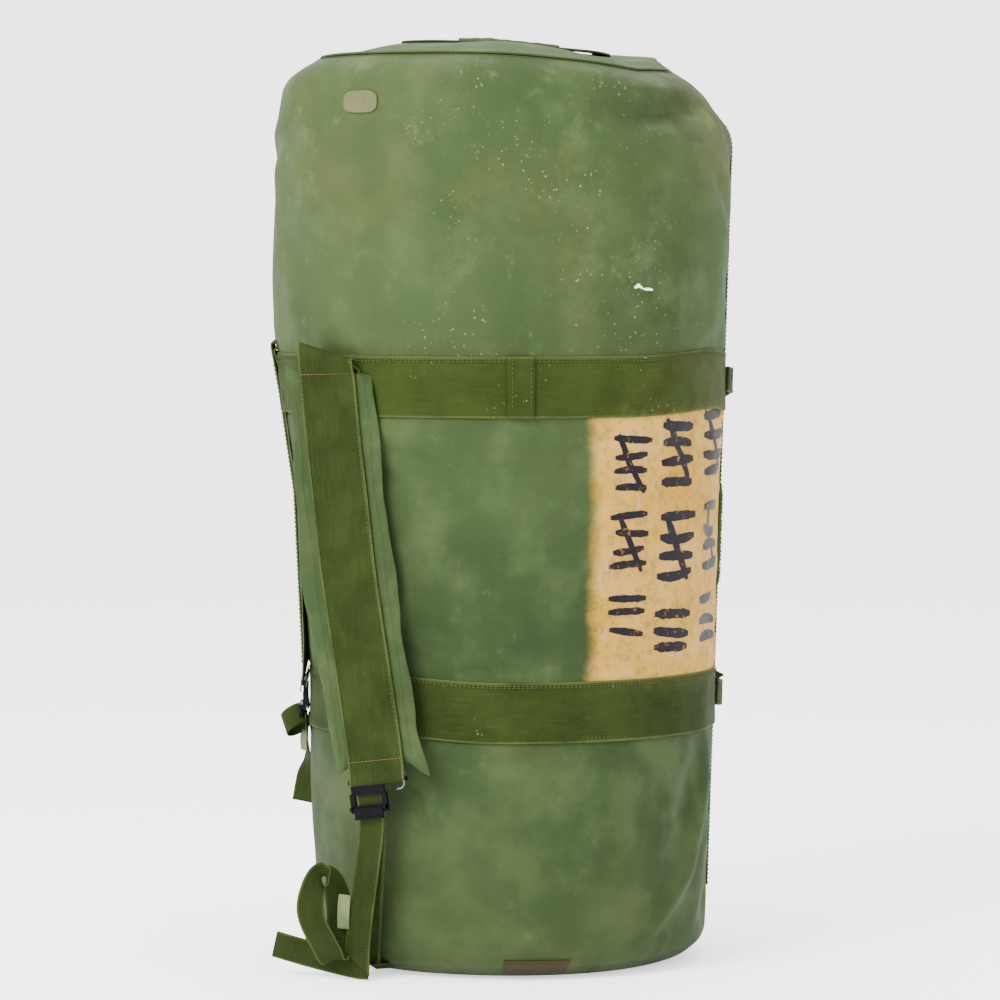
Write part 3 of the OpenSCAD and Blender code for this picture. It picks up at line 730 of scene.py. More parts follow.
def make_skin():
    rows = profile_rows()
    cols = 216
    az = np.arange(cols) * 360 / cols - 180 + 20 / 12
    az = np.round(az, 6)
    n = len(rows)
    p = rows[:, None, 0:1] * out(az)[None] + rows[:, None, 1:2] * UP
    s = np.concatenate([[0], np.cumsum(np.linalg.norm(np.diff(rows, axis=0), axis=1))])
    uv = np.stack(np.broadcast_arrays(np.radians(az)[None, :] * 0.2, s[:, None]), -1).reshape(-1, 2)
    faces = grid_faces(n, cols, True)
    centre_z = rows[faces[:, 0] // cols, 1] * 0.5 + rows[faces[:, 2] // cols, 1] * 0.5
    centre_a = az[faces[:, 0] % cols] + 180 / cols
    keep = ~((np.abs(turned(centre_a, 180)) < MOUTH_HALF) & (centre_z > MOUTH_LO) & (centre_z < MOUTH_HI))
    flat = settle(p.reshape(-1, 3))
    ob = new_mesh("bag_skin", flat, faces[keep], uv, M["bag"])
    z = np.repeat(rows[:, 1], cols)
    a = np.abs(turned(np.tile(az, n), 180))
    held = (np.abs(z - UPPER_Z) < WIDE / 2 + 0.003) | (np.abs(z - LOWER_Z) < WIDE / 2 + 0.003)
    held |= (z < 0.012) | (z > BAG_H - 0.010) | (a < MOUTH_HALF + 6)
    inflate(ob, held, 1.1, -0.016, 18, 0.0050, bend=1.2)
    return ob


def finish_skin(ob):
    me = ob.data
    used = set(i for f in me.polygons for i in f.vertices)
    bm = bmesh.new()
    bm.from_mesh(me)
    bm.verts.ensure_lookup_table()
    bmesh.ops.delete(bm, geom=[v for v in bm.verts if v.index not in used], context="VERTS")
    bm.to_mesh(me)
    bm.free()
    # The lining has none of the outside's paint and wear
    me.materials.append(M["plain"])
    thicken(ob, 0.0022, -1.0)
    ob.modifiers["thickness"].material_offset = 1
    subdivide(ob)
    return place(ob, "bag", "body_fabric", "body_shell")


def skin_hits(skin):
    """A finder of the finished skin's surface at an azimuth and a height."""
    dg = bpy.context.evaluated_depsgraph_get()
    tree = BVHTree.FromObject(skin, dg)
    def find(az, z, lift):
        o = Vector(out(az))
        hit = tree.ray_cast(o * 0.35 + Vector((0, 0, z)), -o, 0.3)[0]
        return np.array(hit + o * lift) if hit is not None else side(az, z, lift)
    return find


def make_strokes(skin):
    """Worn tally marks in three uneven columns on the sprayed field: no letters."""
    find = skin_hits(skin)
    rng = np.random.default_rng(11)
    verts, faces = [], []
    def stroke(az0, z0, az1, z1, wide):
        n, m = 14, 5
        base = len(verts)
        length = math.hypot(math.radians(az1 - az0) * 0.2, z1 - z0)
        bend = rng.normal(0, 0.0012)
        du, dv = math.radians(az1 - az0) * 0.2 / length, (z1 - z0) / length
        for k in range(n):
            t = k / (n - 1)
            w = wide * (0.55 + 0.45 * min(1, 5 * t, 5 * (1 - t))) * (1 + rng.normal(0, 0.07))
            for j in range(m):
                off = (j / (m - 1) - 0.5) * w + bend * math.sin(math.pi * t)
                x = du * length * t - dv * off
                z = z0 + dv * length * t + du * off
                verts.append(find(az0 + math.degrees(x / 0.2), z, 0.00030))
        for f in grid_faces(n, m):
            faces.append([int(q) + base for q in f])
    for az, half, step, wide, z_hi, z_lo in ((99.0, 5.4, 0.0150, 0.0068, 0.505, 0.322),
                                             (115.5, 6.6, 0.0180, 0.0092, 0.518, 0.300),
                                            (136.5, 8.0, 0.0180, 0.0094, 0.524, 0.296)):
        z, count = z_hi, 0
        top = z
        while z > z_lo:
            a, b = az - half + rng.normal(0, 0.5), az + half + rng.normal(0, 0.5)
            stroke(a, z + rng.normal(0, 0.0012), b, z + rng.normal(0, 0.0025), wide)
            count += 1
            z -= step
            if count == 4:
                stroke(az - half * 0.75, top + 0.005, az + half * 0.7, z + step - 0.005, wide * 0.9)
                z -= step * 0.9
                top, count = z, 0
    ob = new_mesh("marker_tally", verts, faces, None, M["ink"])
    place(ob, "bag", "body_fabric")


def disc(name, radius, z, dome, material, ripple):
    """A round end panel that meets the seam and is pushed by what is inside."""
    rings, cols = 22, 144
    rho = np.linspace(0.02, 1, rings)[:, None]
    az = np.arange(cols)[None, :] * 360 / cols
    h = dome * (1 - rho ** 2.2) + ripple * np.sin(np.radians(az) * 4
                                                  + 5 * rho) * np.sin(rho * math.pi) + 0 * az
    r = radius * rho + 0 * az
    p = r[..., None] * out(az + 0 * rho) + (z + h)[..., None] * UP
    uv = p[..., :2].reshape(-1, 2)
    faces = [tuple(f) for f in grid_faces(rings, cols, True)] + [tuple(range(cols))[::-1]]
    ob = new_mesh(name, settle(p.reshape(-1, 3)), faces, uv, material)
    return thicken(ob, 0.0018, -1.0)


def make_ends():
    lo_r, hi_r = float(r_at(RIM)) - RIM, float(r_at(BAG_H - RIM)) - RIM
    head = disc("head_panel", hi_r + 0.0105, BAG_H - 0.0008, 0.0036, M["panel"], ripple=0.0016)
    subdivide(head)
    place(head, "bag", "body_fabric", "top_panel")
    foot = disc("foot_panel", lo_r + 0.0098, 0.0013, 0.0016, M["plain"], ripple=0.0004)
    place(foot, "bag", "body_fabric", "bottom_panel")
    a = np.linspace(0, 360, 181)
    ring = (hi_r + 0.0108) * out(a) + (BAG_H - 0.0002) * UP
    piping = tube("head_piping", settle(ring), 0.0014, M["panel"], closed=True, sides=10)
    place(piping, "bag", "body_fabric", "top_piping")
    ring = (lo_r + 0.0088) * out(a) + (RIM - 0.031) * UP
    binding = tube("foot_binding", ring, 0.0020, M["narrow"], closed=True, sides=10)
    place(binding, "bag", "webbing", "bottom_binding")
    seam = math.radians(66)
    q = (hi_r + RIM * math.cos(seam) + 0.0002) * out(a) + (BAG_H - RIM + RIM * math.sin(seam) + 0.0004) * UP
    place(stitches("head_stitching", [(settle(q), out(a) * 0.4 + UP)], M["thread"]), "bag", "webbing")


def make_bands():
    a = np.linspace(-BAND_END, BAND_END, 240)
    lines = []
    for name, z in (("upper_band", UPPER_Z), ("lower_band", LOWER_Z)):
        path = side(a, np.full_like(a, z), 0.0016)
        web = ribbon(name + "_web", path, UP, WIDE, 0.0022, M["band"], per=2, step=0.005)
        place(settled(web), "bag", "webbing", name)
        for dz in (-0.0255, -0.0238, 0.0238, 0.0255):
            lines.append((settle(side(a, np.full_like(a, z + dz), 0.0029)), out(a)))
    # Where the upper band's ends are lapped and sewn
    lap0, lap1 = 65.5, 72.5
    b = np.linspace(lap0, lap1, 12)
    lap = ribbon("upper_band_lap_web", side(b, np.full_like(b, UPPER_Z), 0.0038), UP, WIDE, 0.0020,
                 M["band"], per=2, step=0.003)
    place(settled(lap), "bag", "webbing", "upper_band_lap")
    zs = UPPER_Z + np.linspace(-0.026, 0.026, 20)
    for az in (lap0 + 1.3, lap1 - 1.0):
        lines.append((settle(side(np.full_like(zs, az), zs, 0.0050)), out(np.full_like(zs, az))))
    place(stitches("band_stitching", lines, M["thread"]), "bag", "webbing")


def rounded_patch(name, az, z, w, h, lift, material):
    """A small sewn patch with rounded corners."""
    n = 15
    round_by = 0.004
    u, v = np.meshgrid(np.linspace(-1, 1, n), np.linspace(-1, 1, n))
    k = 1 - (round_by / min(w, h)) * 1.2 * (u * u * v * v) ** 1.5
    x, y = u * k * w / 2, v * k * h / 2
    zz = z + y
    aa = az + np.degrees(x / r_at(zz))
    p = side(aa, zz, lift)
    uv = np.stack([x + w, y + h], -1).reshape(-1, 2)
    ob = new_mesh(name, settle(p.reshape(-1, 3)), grid_faces(n, n), uv, material)
    return thicken(ob, 0.0008, 1.0)


def make_patches(skin):
    find = skin_hits(skin)
    def laid(ob):
        set_coords(ob, np.array([find(math.degrees(math.atan2(q[0], -q[1])), q[2],
                                      0.0009) for q in coords(ob)]))
        return ob
    place(laid(rounded_patch("tan_patch_cloth", 27.3, 0.823, 0.0372, 0.0225, 0.0006, M["tan"])), "bag",
          "tan_patch", "tan_patch")
    lo_r = float(r_at(RIM)) - RIM
    az = np.linspace(64.5, 83.5, 21)[None, :]
    ang = np.linspace(-60, -29, 9)[:, None]
    p = (lo_r + RIM * np.cos(np.radians(ang)))[...,
                                               None] * out(az + 0 * ang) + (RIM
            + RIM * np.sin(np.radians(ang)) + 0 * az)[..., None] * UP
    uv = np.stack(np.broadcast_arrays(np.radians(az) * 0.18, np.radians(ang) * RIM), -1).reshape(-1, 2)
    ob = laid(new_mesh("brown_patch_cloth", settle(p.reshape(-1, 3)), grid_faces(9, 21), uv, M["brown"]))
    place(thicken(ob, 0.0009, 1.0), "bag", "brown_patch", "brown_patch")


# The mouth

def make_mouth():
    for name, z in (("mouth_patch_upper", MOUTH_HI + 0.018), ("mouth_patch_lower", MOUTH_LO - 0.018)):
        a = np.linspace(172, 188, 14)
        web = ribbon(name + "_web", side(a, np.full_like(a, z), 0.0011), UP, 0.024, 0.0016, M["handle"],
                     per=2, step=0.003)
        place(settled(web), "bag", "webbing", name)
    lines = []
    for sgn, who in ((1, "right"), (-1, "left")):
        edge, root = 180 - sgn * 1.15, 180 - sgn * (MOUTH_HALF + 4)
        flap = hoop_sheet("mouth_flap_" + who + "_cloth", MOUTH_LO - 0.007, MOUTH_HI + 0.007,
                          min(edge, root), max(edge, root),
                          -0.0072, 0.0014, M["plain"])
        place(settled(flap), "mouth_" + who, "body_fabric", "mouth_flap_" + who)
        t_root = edge - sgn * 4.2
        tape = hoop_sheet("zip_tape_" + who + "_cloth", 0.081, 0.794, min(edge, t_root), max(edge, t_root),
                          -0.0054, 0.0010, M["tape"])
        place(settled(tape), "mouth_" + who, "webbing", "zip_tape_" + who)
        zs = np.linspace(0.083, 0.792, 200)
        seam = []
        for off in (2.1, 3.6):
            seam.append((settle(side(np.full_like(zs, edge - sgn * off), zs, -0.0042)),
                         out(np.full_like(zs, edge))))
        place(stitches("zip_stitching_" + who, seam, M["thread"]), "mouth_" + who, "webbing")
        coil(sgn, who)
        hem_az = 180 - sgn * (MOUTH_HALF + 2.3)
        hem = hoop_sheet("mouth_hem_" + who, MOUTH_LO - 0.010, MOUTH_HI + 0.010, hem_az - 2.3, hem_az + 2.3,
                         0.0003, 0.0011, M["plain"])
        place(settled(hem), "bag", "body_fabric")
        zz = np.linspace(MOUTH_LO - 0.008, MOUTH_HI + 0.008, 200)
        for off in (-1.4, 1.4):
            lines.append((settle(side(np.full_like(zz, hem_az + off), zz, 0.0018)),
                          out(np.full_like(zz, hem_az))))
    place(stitches("mouth_stitching", lines, M["thread"]), "bag", "webbing")


def coil(sgn, who):
    """One half of the zip: a nylon coil flattened as it is when sewn down."""
    turns = 300
    t = np.linspace(0, turns * 2 * math.pi, turns * 10)
    z = 0.0815 + (0.7935 - 0.0815) * t / t[-1] + (0.0006 if sgn < 0 else 0)
    r = r_at(z) - 0.0049
    x = -sgn * 0.0020 + 0.0017 * np.cos(t)
    y = 0.00125 * np.sin(t)
    p = (r + y)[:, None] * out(np.full_like(z, 180.0)) + x[:, None] * along(180.0) + z[:, None] * UP
    ob = tube("zip_coil_" + who + "_teeth", settle(p), 0.00045, M["coil"], sides=5)
    place(ob, "mouth_" + who, "zip_metal", "zip_coil_" + who)


# Handles: places in a handle's own plane, x along its hinge line, y its reach, z out of it

def top_frame():
    origin = 0.8774 * UP - 0.020 * out(CAM_AZ)
    return origin, along(CAM_AZ), out(CAM_AZ), UP.copy()


def mouth_frame(sgn):
    """The hinge line runs up the side; the handle reaches round towards the mouth."""
    az = 180 - sgn * (180 - 157.4)
    z = (UPPER_Z + LOWER_Z) / 2
    origin = side(az, z, 0.0084)
    tilt = math.atan((HEAD_R - FOOT_R) / BAG_H)
    o, a = out(az), along(az) * sgn
    up_side = UP * math.cos(tilt) + o * math.sin(tilt)
    normal = o * math.cos(tilt) - UP * math.sin(tilt)
    dip = math.radians(8)
    reach = a * math.cos(dip) - normal * math.sin(dip)
    face = normal * math.cos(dip) + a * math.sin(dip)
    return origin, up_side, reach, face


def handle_set(name, where, span, body, tabs_node, follow, tab_feet):
    o, ex, ey, ez = where
    def at(x, y, z=0.0):
        return o + ex * x + ey * y + ez * z
    half, reach, rnd = span / 2 - 0.0125, 0.062 - 0.0125, 0.022
    pts = [(-half, -0.0022, -0.0006), (-half, 0.002, 0.0004), (-half, reach - rnd, 0.0008)]
    acr = [(1, 0, 0)] * 3
    for a in np.linspace(20, 70, 3):
        c = math.radians(a)
        pts.append((-half + rnd * (1 - math.cos(c)), reach - rnd + rnd * math.sin(c), 0.001))
        acr.append((math.cos(c), -math.sin(c), 0))
    pts += [(-half + rnd, reach, 0.001), (0, reach, 0.0002)]
    acr += [(0, -1, 0)] * 2
    pts += [(-x, y, z) for x, y, z in pts[-2::-1]]
    acr += [(x, -y, z) for x, y, z in acr[-2::-1]]
    acr = [(a if k <= 7 else (-a[0], -abs(a[1]) if abs(a[0]) < 1 else 0, 0)) for k, a in enumerate(acr)]
    P = np.array([at(*q) for q in pts])
    A = np.array([ex * a + ey * b + ez * c for a, b, c in acr])
    web = ribbon(name + "_web", P, A, 0.025, 0.0022, M["handle"], per=6, step=0.003)
    loops = []
    for sx in (-1, 1):
        t = np.linspace(0, 2 * math.pi, 13)[:-1]
        ring = [at(sx * half, 0.0013 * math.cos(k), 0.0013 * math.sin(k)) for k in t]
        loops.append(ribbon(f"{name}_eye_{'ab'[sx > 0]}", ring, ex, 0.025, 0.0012, M["handle"], closed=True,
                            per=2, step=0.0006))
    xs = np.linspace(-0.048, 0.048, 33)
    ang = np.arange(28) * 2 * math.pi / 28
    rows = []
    for x in xs:
        e = 1 - 0.10 * (abs(x) / 0.048) ** 6 + 0.02 * math.sin(x * 260)
        for k in ang:
            c, s_ = math.cos(k), math.sin(k)
            w = 0.0158 * np.sign(c) * abs(c) ** 0.6 * e
            h = 0.0043 * np.sign(s_) * abs(s_) ** 0.75 * (e + 0.05 * math.sin(x * 420 + k * 2))
            rows.append(at(x, reach + w, h))
    uv = np.array([(x + 0.05, k * 0.010) for x in xs for k in ang])
    faces = [tuple(f) for f in grid_faces(len(xs), 28, True)] + [tuple(range(28))[::-1],
                                                                 tuple(range(32 * 28, 33 * 28))]
    sleeve = new_mesh(name + "_sleeve_cloth", rows, faces, uv, M["plain"])
    line = [at(x, reach - 0.0128, 0.0036) for x in np.linspace(-0.046, 0.046, 20)]
    seam = stitches(name + "_sleeve_stitching", [(line, ez - ey * 0.4)], M["thread"])
    cross = []
    for sx in (-1, 1):
        c = sx * half
        box = [(-0.009, 0.006), (0.009, 0.006), (0.009, 0.022), (-0.009, 0.022), (-0.009, 0.006),
               (0.009, 0.022)]
        for (x0, y0), (x1, y1) in zip(box, box[1:]):
            seg = [at(c + x0 + (x1 - x0) * t, y0 + (y1 - y0) * t, 0.0022) for t in np.linspace(0, 1, 5)]
            cross.append((seg, ez))
    box_stitch = stitches(name + "_box_stitching", cross, M["thread"])
    made = [web, *loops, sleeve, seam, box_stitch]
    if follow:
        for ob in made:
            set_coords(ob, follow(coords(ob)))
    nodes = {"grab": ("grab_handle", "grab_sleeve"),
             "carry_right": ("carry_handle_right", "carry_sleeve_right"),
             "carry_left": ("carry_handle_left", "carry_sleeve_left")}[name]
    place(web, body, "webbing", nodes[0])
    for ob in loops:
        place(ob, body, "webbing")
    place(sleeve, body, "body_fabric", nodes[1])
    place(seam, body, "webbing")
    place(box_stitch, body, "webbing")
    for k, (sx, foot) in enumerate(zip((-1, 1), tab_feet)):
        head = at(sx * half, -0.0040, -0.0010)
        mid = (head + foot) / 2 + ez * 0.0004
        tab = ribbon(f"{name}_tab_{'ab'[k]}", [foot, mid, head], ex, 0.025, 0.0022, M["handle"], per=5,
                     step=0.003)
        if follow:
            set_coords(tab, follow(coords(tab)))
        place(tab, "bag", "webbing")
    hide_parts(tabs_node)


def make_handles():
    o, ex, ey, ez = top_frame()
    feet = [o + ex * s * (0.105 - 0.0125) - ey * 0.034 - ez * 0.0040 for s in (-1, 1)]
    handle_set("grab", (o, ex, ey, ez), 0.210, "grab", "grab_tabs", settle, feet)
    for sgn, who in ((1, "right"), (-1, "left")):
        w = mouth_frame(sgn)
        az = 180 - sgn * (180 - (BAND_END + 0.3))
        feet = [side(az - sgn * 4.0, z, 0.0042) for z in (LOWER_Z + 0.002, UPPER_Z + 0.002)]
        handle_set("carry_" + who, w, UPPER_Z - LOWER_Z + 0.025, "carry_" + who, "carry_tabs_" + who, None,
                   feet)


# Shoulder straps: x across the strap, y inwards, z up it, from its fold

def strap_axes(i):
    lean = math.radians(STRAP_LEAN[i])
    a, o = along(STRAP_FACE[i]), out(STRAP_FACE[i])
    fold = STRAP_OUT[i] * out(STRAP_AZ[i]) + STRAP_TOP * UP
    tuck = math.radians(STRAP_TUCK[i])
    ex = a * math.cos(lean) + UP * math.sin(lean)
    ez = UP * math.cos(lean) - a * math.sin(lean)
    return fold, ex, ez * math.sin(tuck) - o * math.cos(tuck), ez * math.cos(tuck) + o * math.sin(tuck)


def strap_at(i, x, y, z):
    f, ex, ey, ez = strap_axes(i)
    x, y, z = np.broadcast_arrays(np.asarray(x, float), np.asarray(y, float), np.asarray(z, float))
    return f + x[..., None] * ex + y[..., None] * ey + z[..., None] * ez


def web_len(i):
    return PAD_LEN[i] + 0.030


def pivot(i):
    return strap_at(i, WINDOW_X[i], -0.002, -web_len(i) - 0.036)


def make_pad(i):
    """The pad: a stuffed sleeve whose face is held flat by the web that is sewn down its middle."""
    who = SIDES[i]
    length, half = PAD_LEN[i] - 0.004, PAD_W / 2 - 0.003
    z0 = -0.019 - 0.002
    nx, nz = 25, int(length / 0.0045) + 1
    xs = np.linspace(-half, half, nx)
    zs = z0 - np.linspace(0, length, nz)
    X, Z = np.meshgrid(xs, zs)
    end = np.minimum(z0 - Z, Z - (z0 - length))
    edge = np.clip((half - np.abs(X)) / 0.010, 0, 1) ** 0.5
    cap = np.clip(end / 0.008, 0, 1) ** 0.5
    full = edge * cap
    front = 0.0045 - full * np.where(np.abs(X) < 0.029, 0.0043, 0.0052)
    back = 0.0050 + full * 0.0065
    F = strap_at(i, X, front, Z).reshape(-1, 3)
    B = strap_at(i, X, back, Z).reshape(-1, 3)
    n = nx * nz
    gf = grid_faces(nz, nx)
    ring = [j for j in range(nx)] + [r * nx + nx - 1 for r in range(1, nz)]
    ring += [(nz - 1) * nx + j for j in range(nx - 2, -1, -1)] + [r * nx for r in range(nz - 2, 0, -1)]
    faces = [tuple(f) for f in gf] + [tuple(int(k) + n for k in f[::-1]) for f in gf]
    for a, b in zip(ring, ring[1:] + ring[:1]):
        faces.append((b, a, a + n, b + n))
    uv = np.vstack([np.stack([X + half, Z - z0 + length], -1).reshape(-1, 2)] * 2)
    ob = new_mesh("pad_" + who, np.vstack([F, B]), faces, uv, M["pad"])
    held = np.zeros(2 * n, bool)
    held[:n] = (np.abs(X).ravel() < 0.0295)
    held[n:] |= (np.abs(X).ravel() < 0.004)
    inflate(ob, held, 3.2, -0.030, 16, 0.0035, bend=0.3, stiff=12.0)
    co = coords(ob)
    f, ex, ey, ez = strap_axes(i)
    d = co - f
    lx, ly, lz = d @ ex, d @ ey, d @ ez
    # The left pad is pressed flat against the bag
    if i == 1:
        co = co - ey * (np.maximum(ly + 0.002, 0) * 0.6)[:, None]
    # The top corners have rolled and the lower ones stick out as ears
    top = near(lz, z0, 0.028) * smooth(np.abs(lx), half - 0.016, half)
    foot = near(lz, z0 - length, 0.030) * smooth(np.abs(lx), half - 0.018, half)
    wob = 0.0012 * np.sin(lz * 55 + 1) * np.sign(lx) * smooth(np.abs(lx), 0.03, half)
    right = lx > 0
    belly = -0.0075 * near(lz, z0 - 0.2, 0.17) * smooth(-lx, 0.028, half)
    across = -0.003 * top + np.where(right, 0.0105, 0.001) * foot + wob + belly
    inwards = 0.0045 * top * right - 0.0025 * foot
    up = np.where(right, -0.008, 0.004) * top - np.where(right, 0.0165, 0.006) * foot
    co = co + ex * across[:, None] + ey * inwards[:, None] + ez * up[:, None]
    set_coords(ob, co)
    drawn_in(i, ob)
    subdivide(ob)
    place(ob, "strap_" + who, "body_fabric", "pad_cover_" + who, "pad_foam_" + who)
    # Rolled seam along each long edge
    lines = []
    for sx in (-1, 1):
        zz = np.linspace(z0 - 0.012, z0 - length + 0.008, 60)
        p = strap_at(i, sx * (half - 0.0075) + 0.0008 * np.sin(zz * 60), np.full_like(zz, -0.0022), zz)
        lines.append((p, -ey))
    seam = stitches("pad_stitching_" + who, lines, M["thread"])
    drawn_in(i, seam)
    place(seam, "strap_" + who, "webbing")
    return ob


def make_strap(i):
    who = SIDES[i]
    _, ex, ey, _ = strap_axes(i)
    body = "strap_" + who
    L = web_len(i)
    a = along(STRAP_AZ[i])
    band_top = UPPER_Z + WIDE / 2
    # One web: sewn on the band, out to the fold, over it and down the pad to the buckle's bar, back and sewn
    root = [side(STRAP_AZ[i], band_top - 0.050, 0.0045), side(STRAP_AZ[i], band_top - 0.010, 0.0045),
            side(STRAP_AZ[i], band_top + 0.001, 0.0050)]
    root = [settle(np.array([q]))[0] for q in root]
    over = [(0.0046, -0.0020), (0.0028, 0.0014), (0.0004, 0.0026), (-0.0018, 0.0014), (-0.0026, -0.003)]
    back = [(-0.0026, -L + 0.008), (-0.0040, -L - 0.001), (-0.0048, -L - 0.0035), (-0.0030, -L - 0.0062),
            (-0.0004, -L - 0.0035), (0.0006, -L + 0.004)]
    pts = root + [strap_at(i, 0, y, z) for y, z in over]
    pts += [strap_at(i, 0.0004 * math.sin(z * 31), -0.0024, z) for z in np.linspace(-0.03, -L + 0.030, 8)]
    pts += [strap_at(i, 0, y, z) for y, z in back]
    acr = [a] * 3 + [ex] * (len(pts) - 3)
    web = ribbon("strap_" + who + "_web", np.array(pts), np.array(acr), WIDE, 0.0022, M["strap"], per=8,
                 step=0.0035)
    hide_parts("strap_web_" + who, "strap_root_" + who)
    Vector(strap_at(i, 0, 0.0030, 0.0))
    Vector(strap_at(i, 0, -0.0012, 0.0))
    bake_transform(web)
    drawn_in(i, web)
    lines = []
    for sx in (-1, 1):
        zz = np.linspace(-0.02, -L + 0.018, 80)
        lines.append((strap_at(i, np.full_like(zz, sx * 0.0262), -0.0037, zz), -ey))
    rows = stitches("strap_stitching_" + who, lines, M["thread"])
    lines = []
    for z in (-0.0235, -L + 0.0165):
        xx = np.linspace(-0.026, 0.026, 16)
        lines.append((strap_at(i, xx, -0.0037, np.full_like(xx, z)), -ey))
    cross = stitches("strap_cross_stitching_" + who, lines, M["tan_thread"], pitch=0.0034, length=0.0031,
                     radius=0.0005)
    drawn_in(i, rows, cross)
    place(rows, body, "webbing")
    place(cross, body, "webbing")


def strap_iron(i):
    """The buckle keeps its frame shapes; it gains worn edges, enamel and a wire clip."""
    who = SIDES[i]
    for node, body in (("buckle_frame_" + who, "strap_" + who), ("buckle_lever_" + who, "lever_" + who)):
        ob = bpy.data.objects.new(node + "_iron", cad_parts[node].data.copy())
        bpy.context.scene.collection.objects.link(ob)
        drawn_in(i, ob)
        place(ob, body, "buckle_steel", node)
        ob.data.materials.clear()
        ob.data.materials.append(M["steel"])
        bevel(ob, 0.0007)
    L = web_len(i)
    pts = [(0.0255, -0.0036, -L - 0.002), (0.0282, -0.0048, -L - 0.006), (0.0262, -0.0056, -L - 0.0105),
           (0.0205, -0.0052, -L - 0.0118)]
    p = np.array([strap_at(i, *q) for q in pts])
    wire = tube("buckle_wire_" + who, p, 0.0008, M["wire"], per=8)
    drawn_in(i, wire)
    place(wire, "strap_" + who, "buckle_steel")
    x = WINDOW_X[i]
    web = ribbon("buckle_web_" + who + "_web",
                 [strap_at(i, x, 0.0006, -L - 0.006), strap_at(i, x, -0.0002, -L - 0.017),
                  strap_at(i, x, 0.0008, -L - 0.030)],
                 strap_axes(i)[1], NARROW, 0.0015, M["narrow"], per=6, step=0.002)
    drawn_in(i, web)
    place(web, "strap_" + who, "webbing", "buckle_web_" + who)


def drawn_in(i, *obs):
    """Settles parts of a strap: the left one hugs the bag, the right one curves as it hangs."""
    f, ex, _, ez = strap_axes(i)
    for ob in obs:
        co = coords(ob)
        d = co - f
        below = -d @ ez
        if i == 1:
            deep = np.interp(below, [0, 0.05, 0.10, 0.14, 0.22, 0.30],
                             [0.001, 0.009, 0.015, 0.020, 0.022, 0.024])
            set_coords(ob, co - out(STRAP_FACE[1])
                       * (deep * np.interp(co[:, 2], [0.01, 0.15], [0.5, 1]))[:, None])
        else:
            shift = np.interp(below, [0, 0.1, 0.2, 0.3, 0.37, 0.46, 0.56],
                              [0.007, 0.0035, 0.002, 0.0045, 0.0057, 0.0057, 0.001])
            slant = (-0.38 * (d @ ex) - 0.006) * (1 - smooth(below, 0.0, 0.036))
            set_coords(ob, co + along(STRAP_FACE[0]) * shift[:, None] + UP * slant[:, None])


def inset(i):
    p = pivot(i)
    b = p @ out(STRAP_FACE[i])
    r = float(r_at(ANCHOR_Z)) + 0.005
    return b - math.sqrt(b * b - (p[0] ** 2 + p[1] ** 2 - r * r))


def anchor(i):
    p = pivot(i) - inset(i) * out(STRAP_FACE[i])
    return np.array([p[0], p[1], ANCHOR_Z])


def make_adjuster(i):
    """Upper and lower halves of the adjuster and the anchor at the foot."""
    who = SIDES[i]
    P, A = pivot(i), anchor(i)
    o, a = out(STRAP_FACE[i]), along(STRAP_FACE[i])
    tilt = math.atan2(inset(i), P[2] - ANCHOR_Z)
    down = -UP * math.cos(tilt) - o * math.sin(tilt)
    deep = -o * math.cos(tilt) + UP * math.sin(tilt)
    up_len, low_len = ((0.098, 0.126), (0.108, 0.172))[i]
    top = [P - o * 0.0030 + UP * 0.0006, P + deep * 0.0034 + down * 0.006,
           P + deep * 0.0033 + down * up_len * 0.5,
           P + deep * 0.0033 + down * (up_len - 0.001)]
    if i == 0:
        top = [q - a * (0.017 * (P[2] - q[2]) / (P[2] - ANCHOR_Z)) for q in top]
        A = A - a * 0.017
    web = ribbon("adjuster_upper_" + who + "_web", np.array(top), a, NARROW, 0.0014, M["narrow"], per=8,
                 step=0.003)
    drawn_in(i, web)
    place(web, "adjuster_upper_" + who, "webbing", "adjuster_upper_" + who)
    low = [A - o * 0.0010, A + deep * 0.0044 - down * 0.004, A + deep * 0.0054 - down * low_len * 0.5,
           A + deep * 0.0054 - down * (low_len - 0.001)]
    if i == 0:
        low = [q + a * (0.017 * (q[2] - ANCHOR_Z) / (P[2] - ANCHOR_Z)) for q in low]
    web = ribbon("adjuster_lower_" + who + "_web", np.array(low), a, NARROW, 0.0014, M["narrow"], per=8,
                 step=0.003)
    drawn_in(i, web)
    place(web, "adjuster_lower_" + who, "webbing", "adjuster_lower_" + who)
    rim_az = math.degrees(math.atan2(A[0], -A[1]))
    lo_r = float(r_at(RIM)) - RIM
    def rim(angle, lift=0.0012):
        c = math.radians(angle)
        return (lo_r + (RIM + lift) * math.cos(c)) * out(rim_az) + (RIM + (RIM + lift) * math.sin(c)) * UP
    pts = [rim(-62), rim(-52), rim(-46, 0.0016), A - UP * 0.0024 + o * 0.0002, A + UP * 0.0002 + o * 0.0020]
    web = ribbon("base_anchor_" + who + "_web", np.array(pts), a, NARROW, 0.0014, M["narrow"], per=8,
                 step=0.002)
    place(web, "bag", "webbing", "base_anchor_" + who)


def tail_at(i, x, y, z):
    """A point from the buckle's pivot: x across, y inwards, z up."""
    return pivot(i) + along(STRAP_FACE[i]) * x - out(STRAP_FACE[i]) * y + UP * z


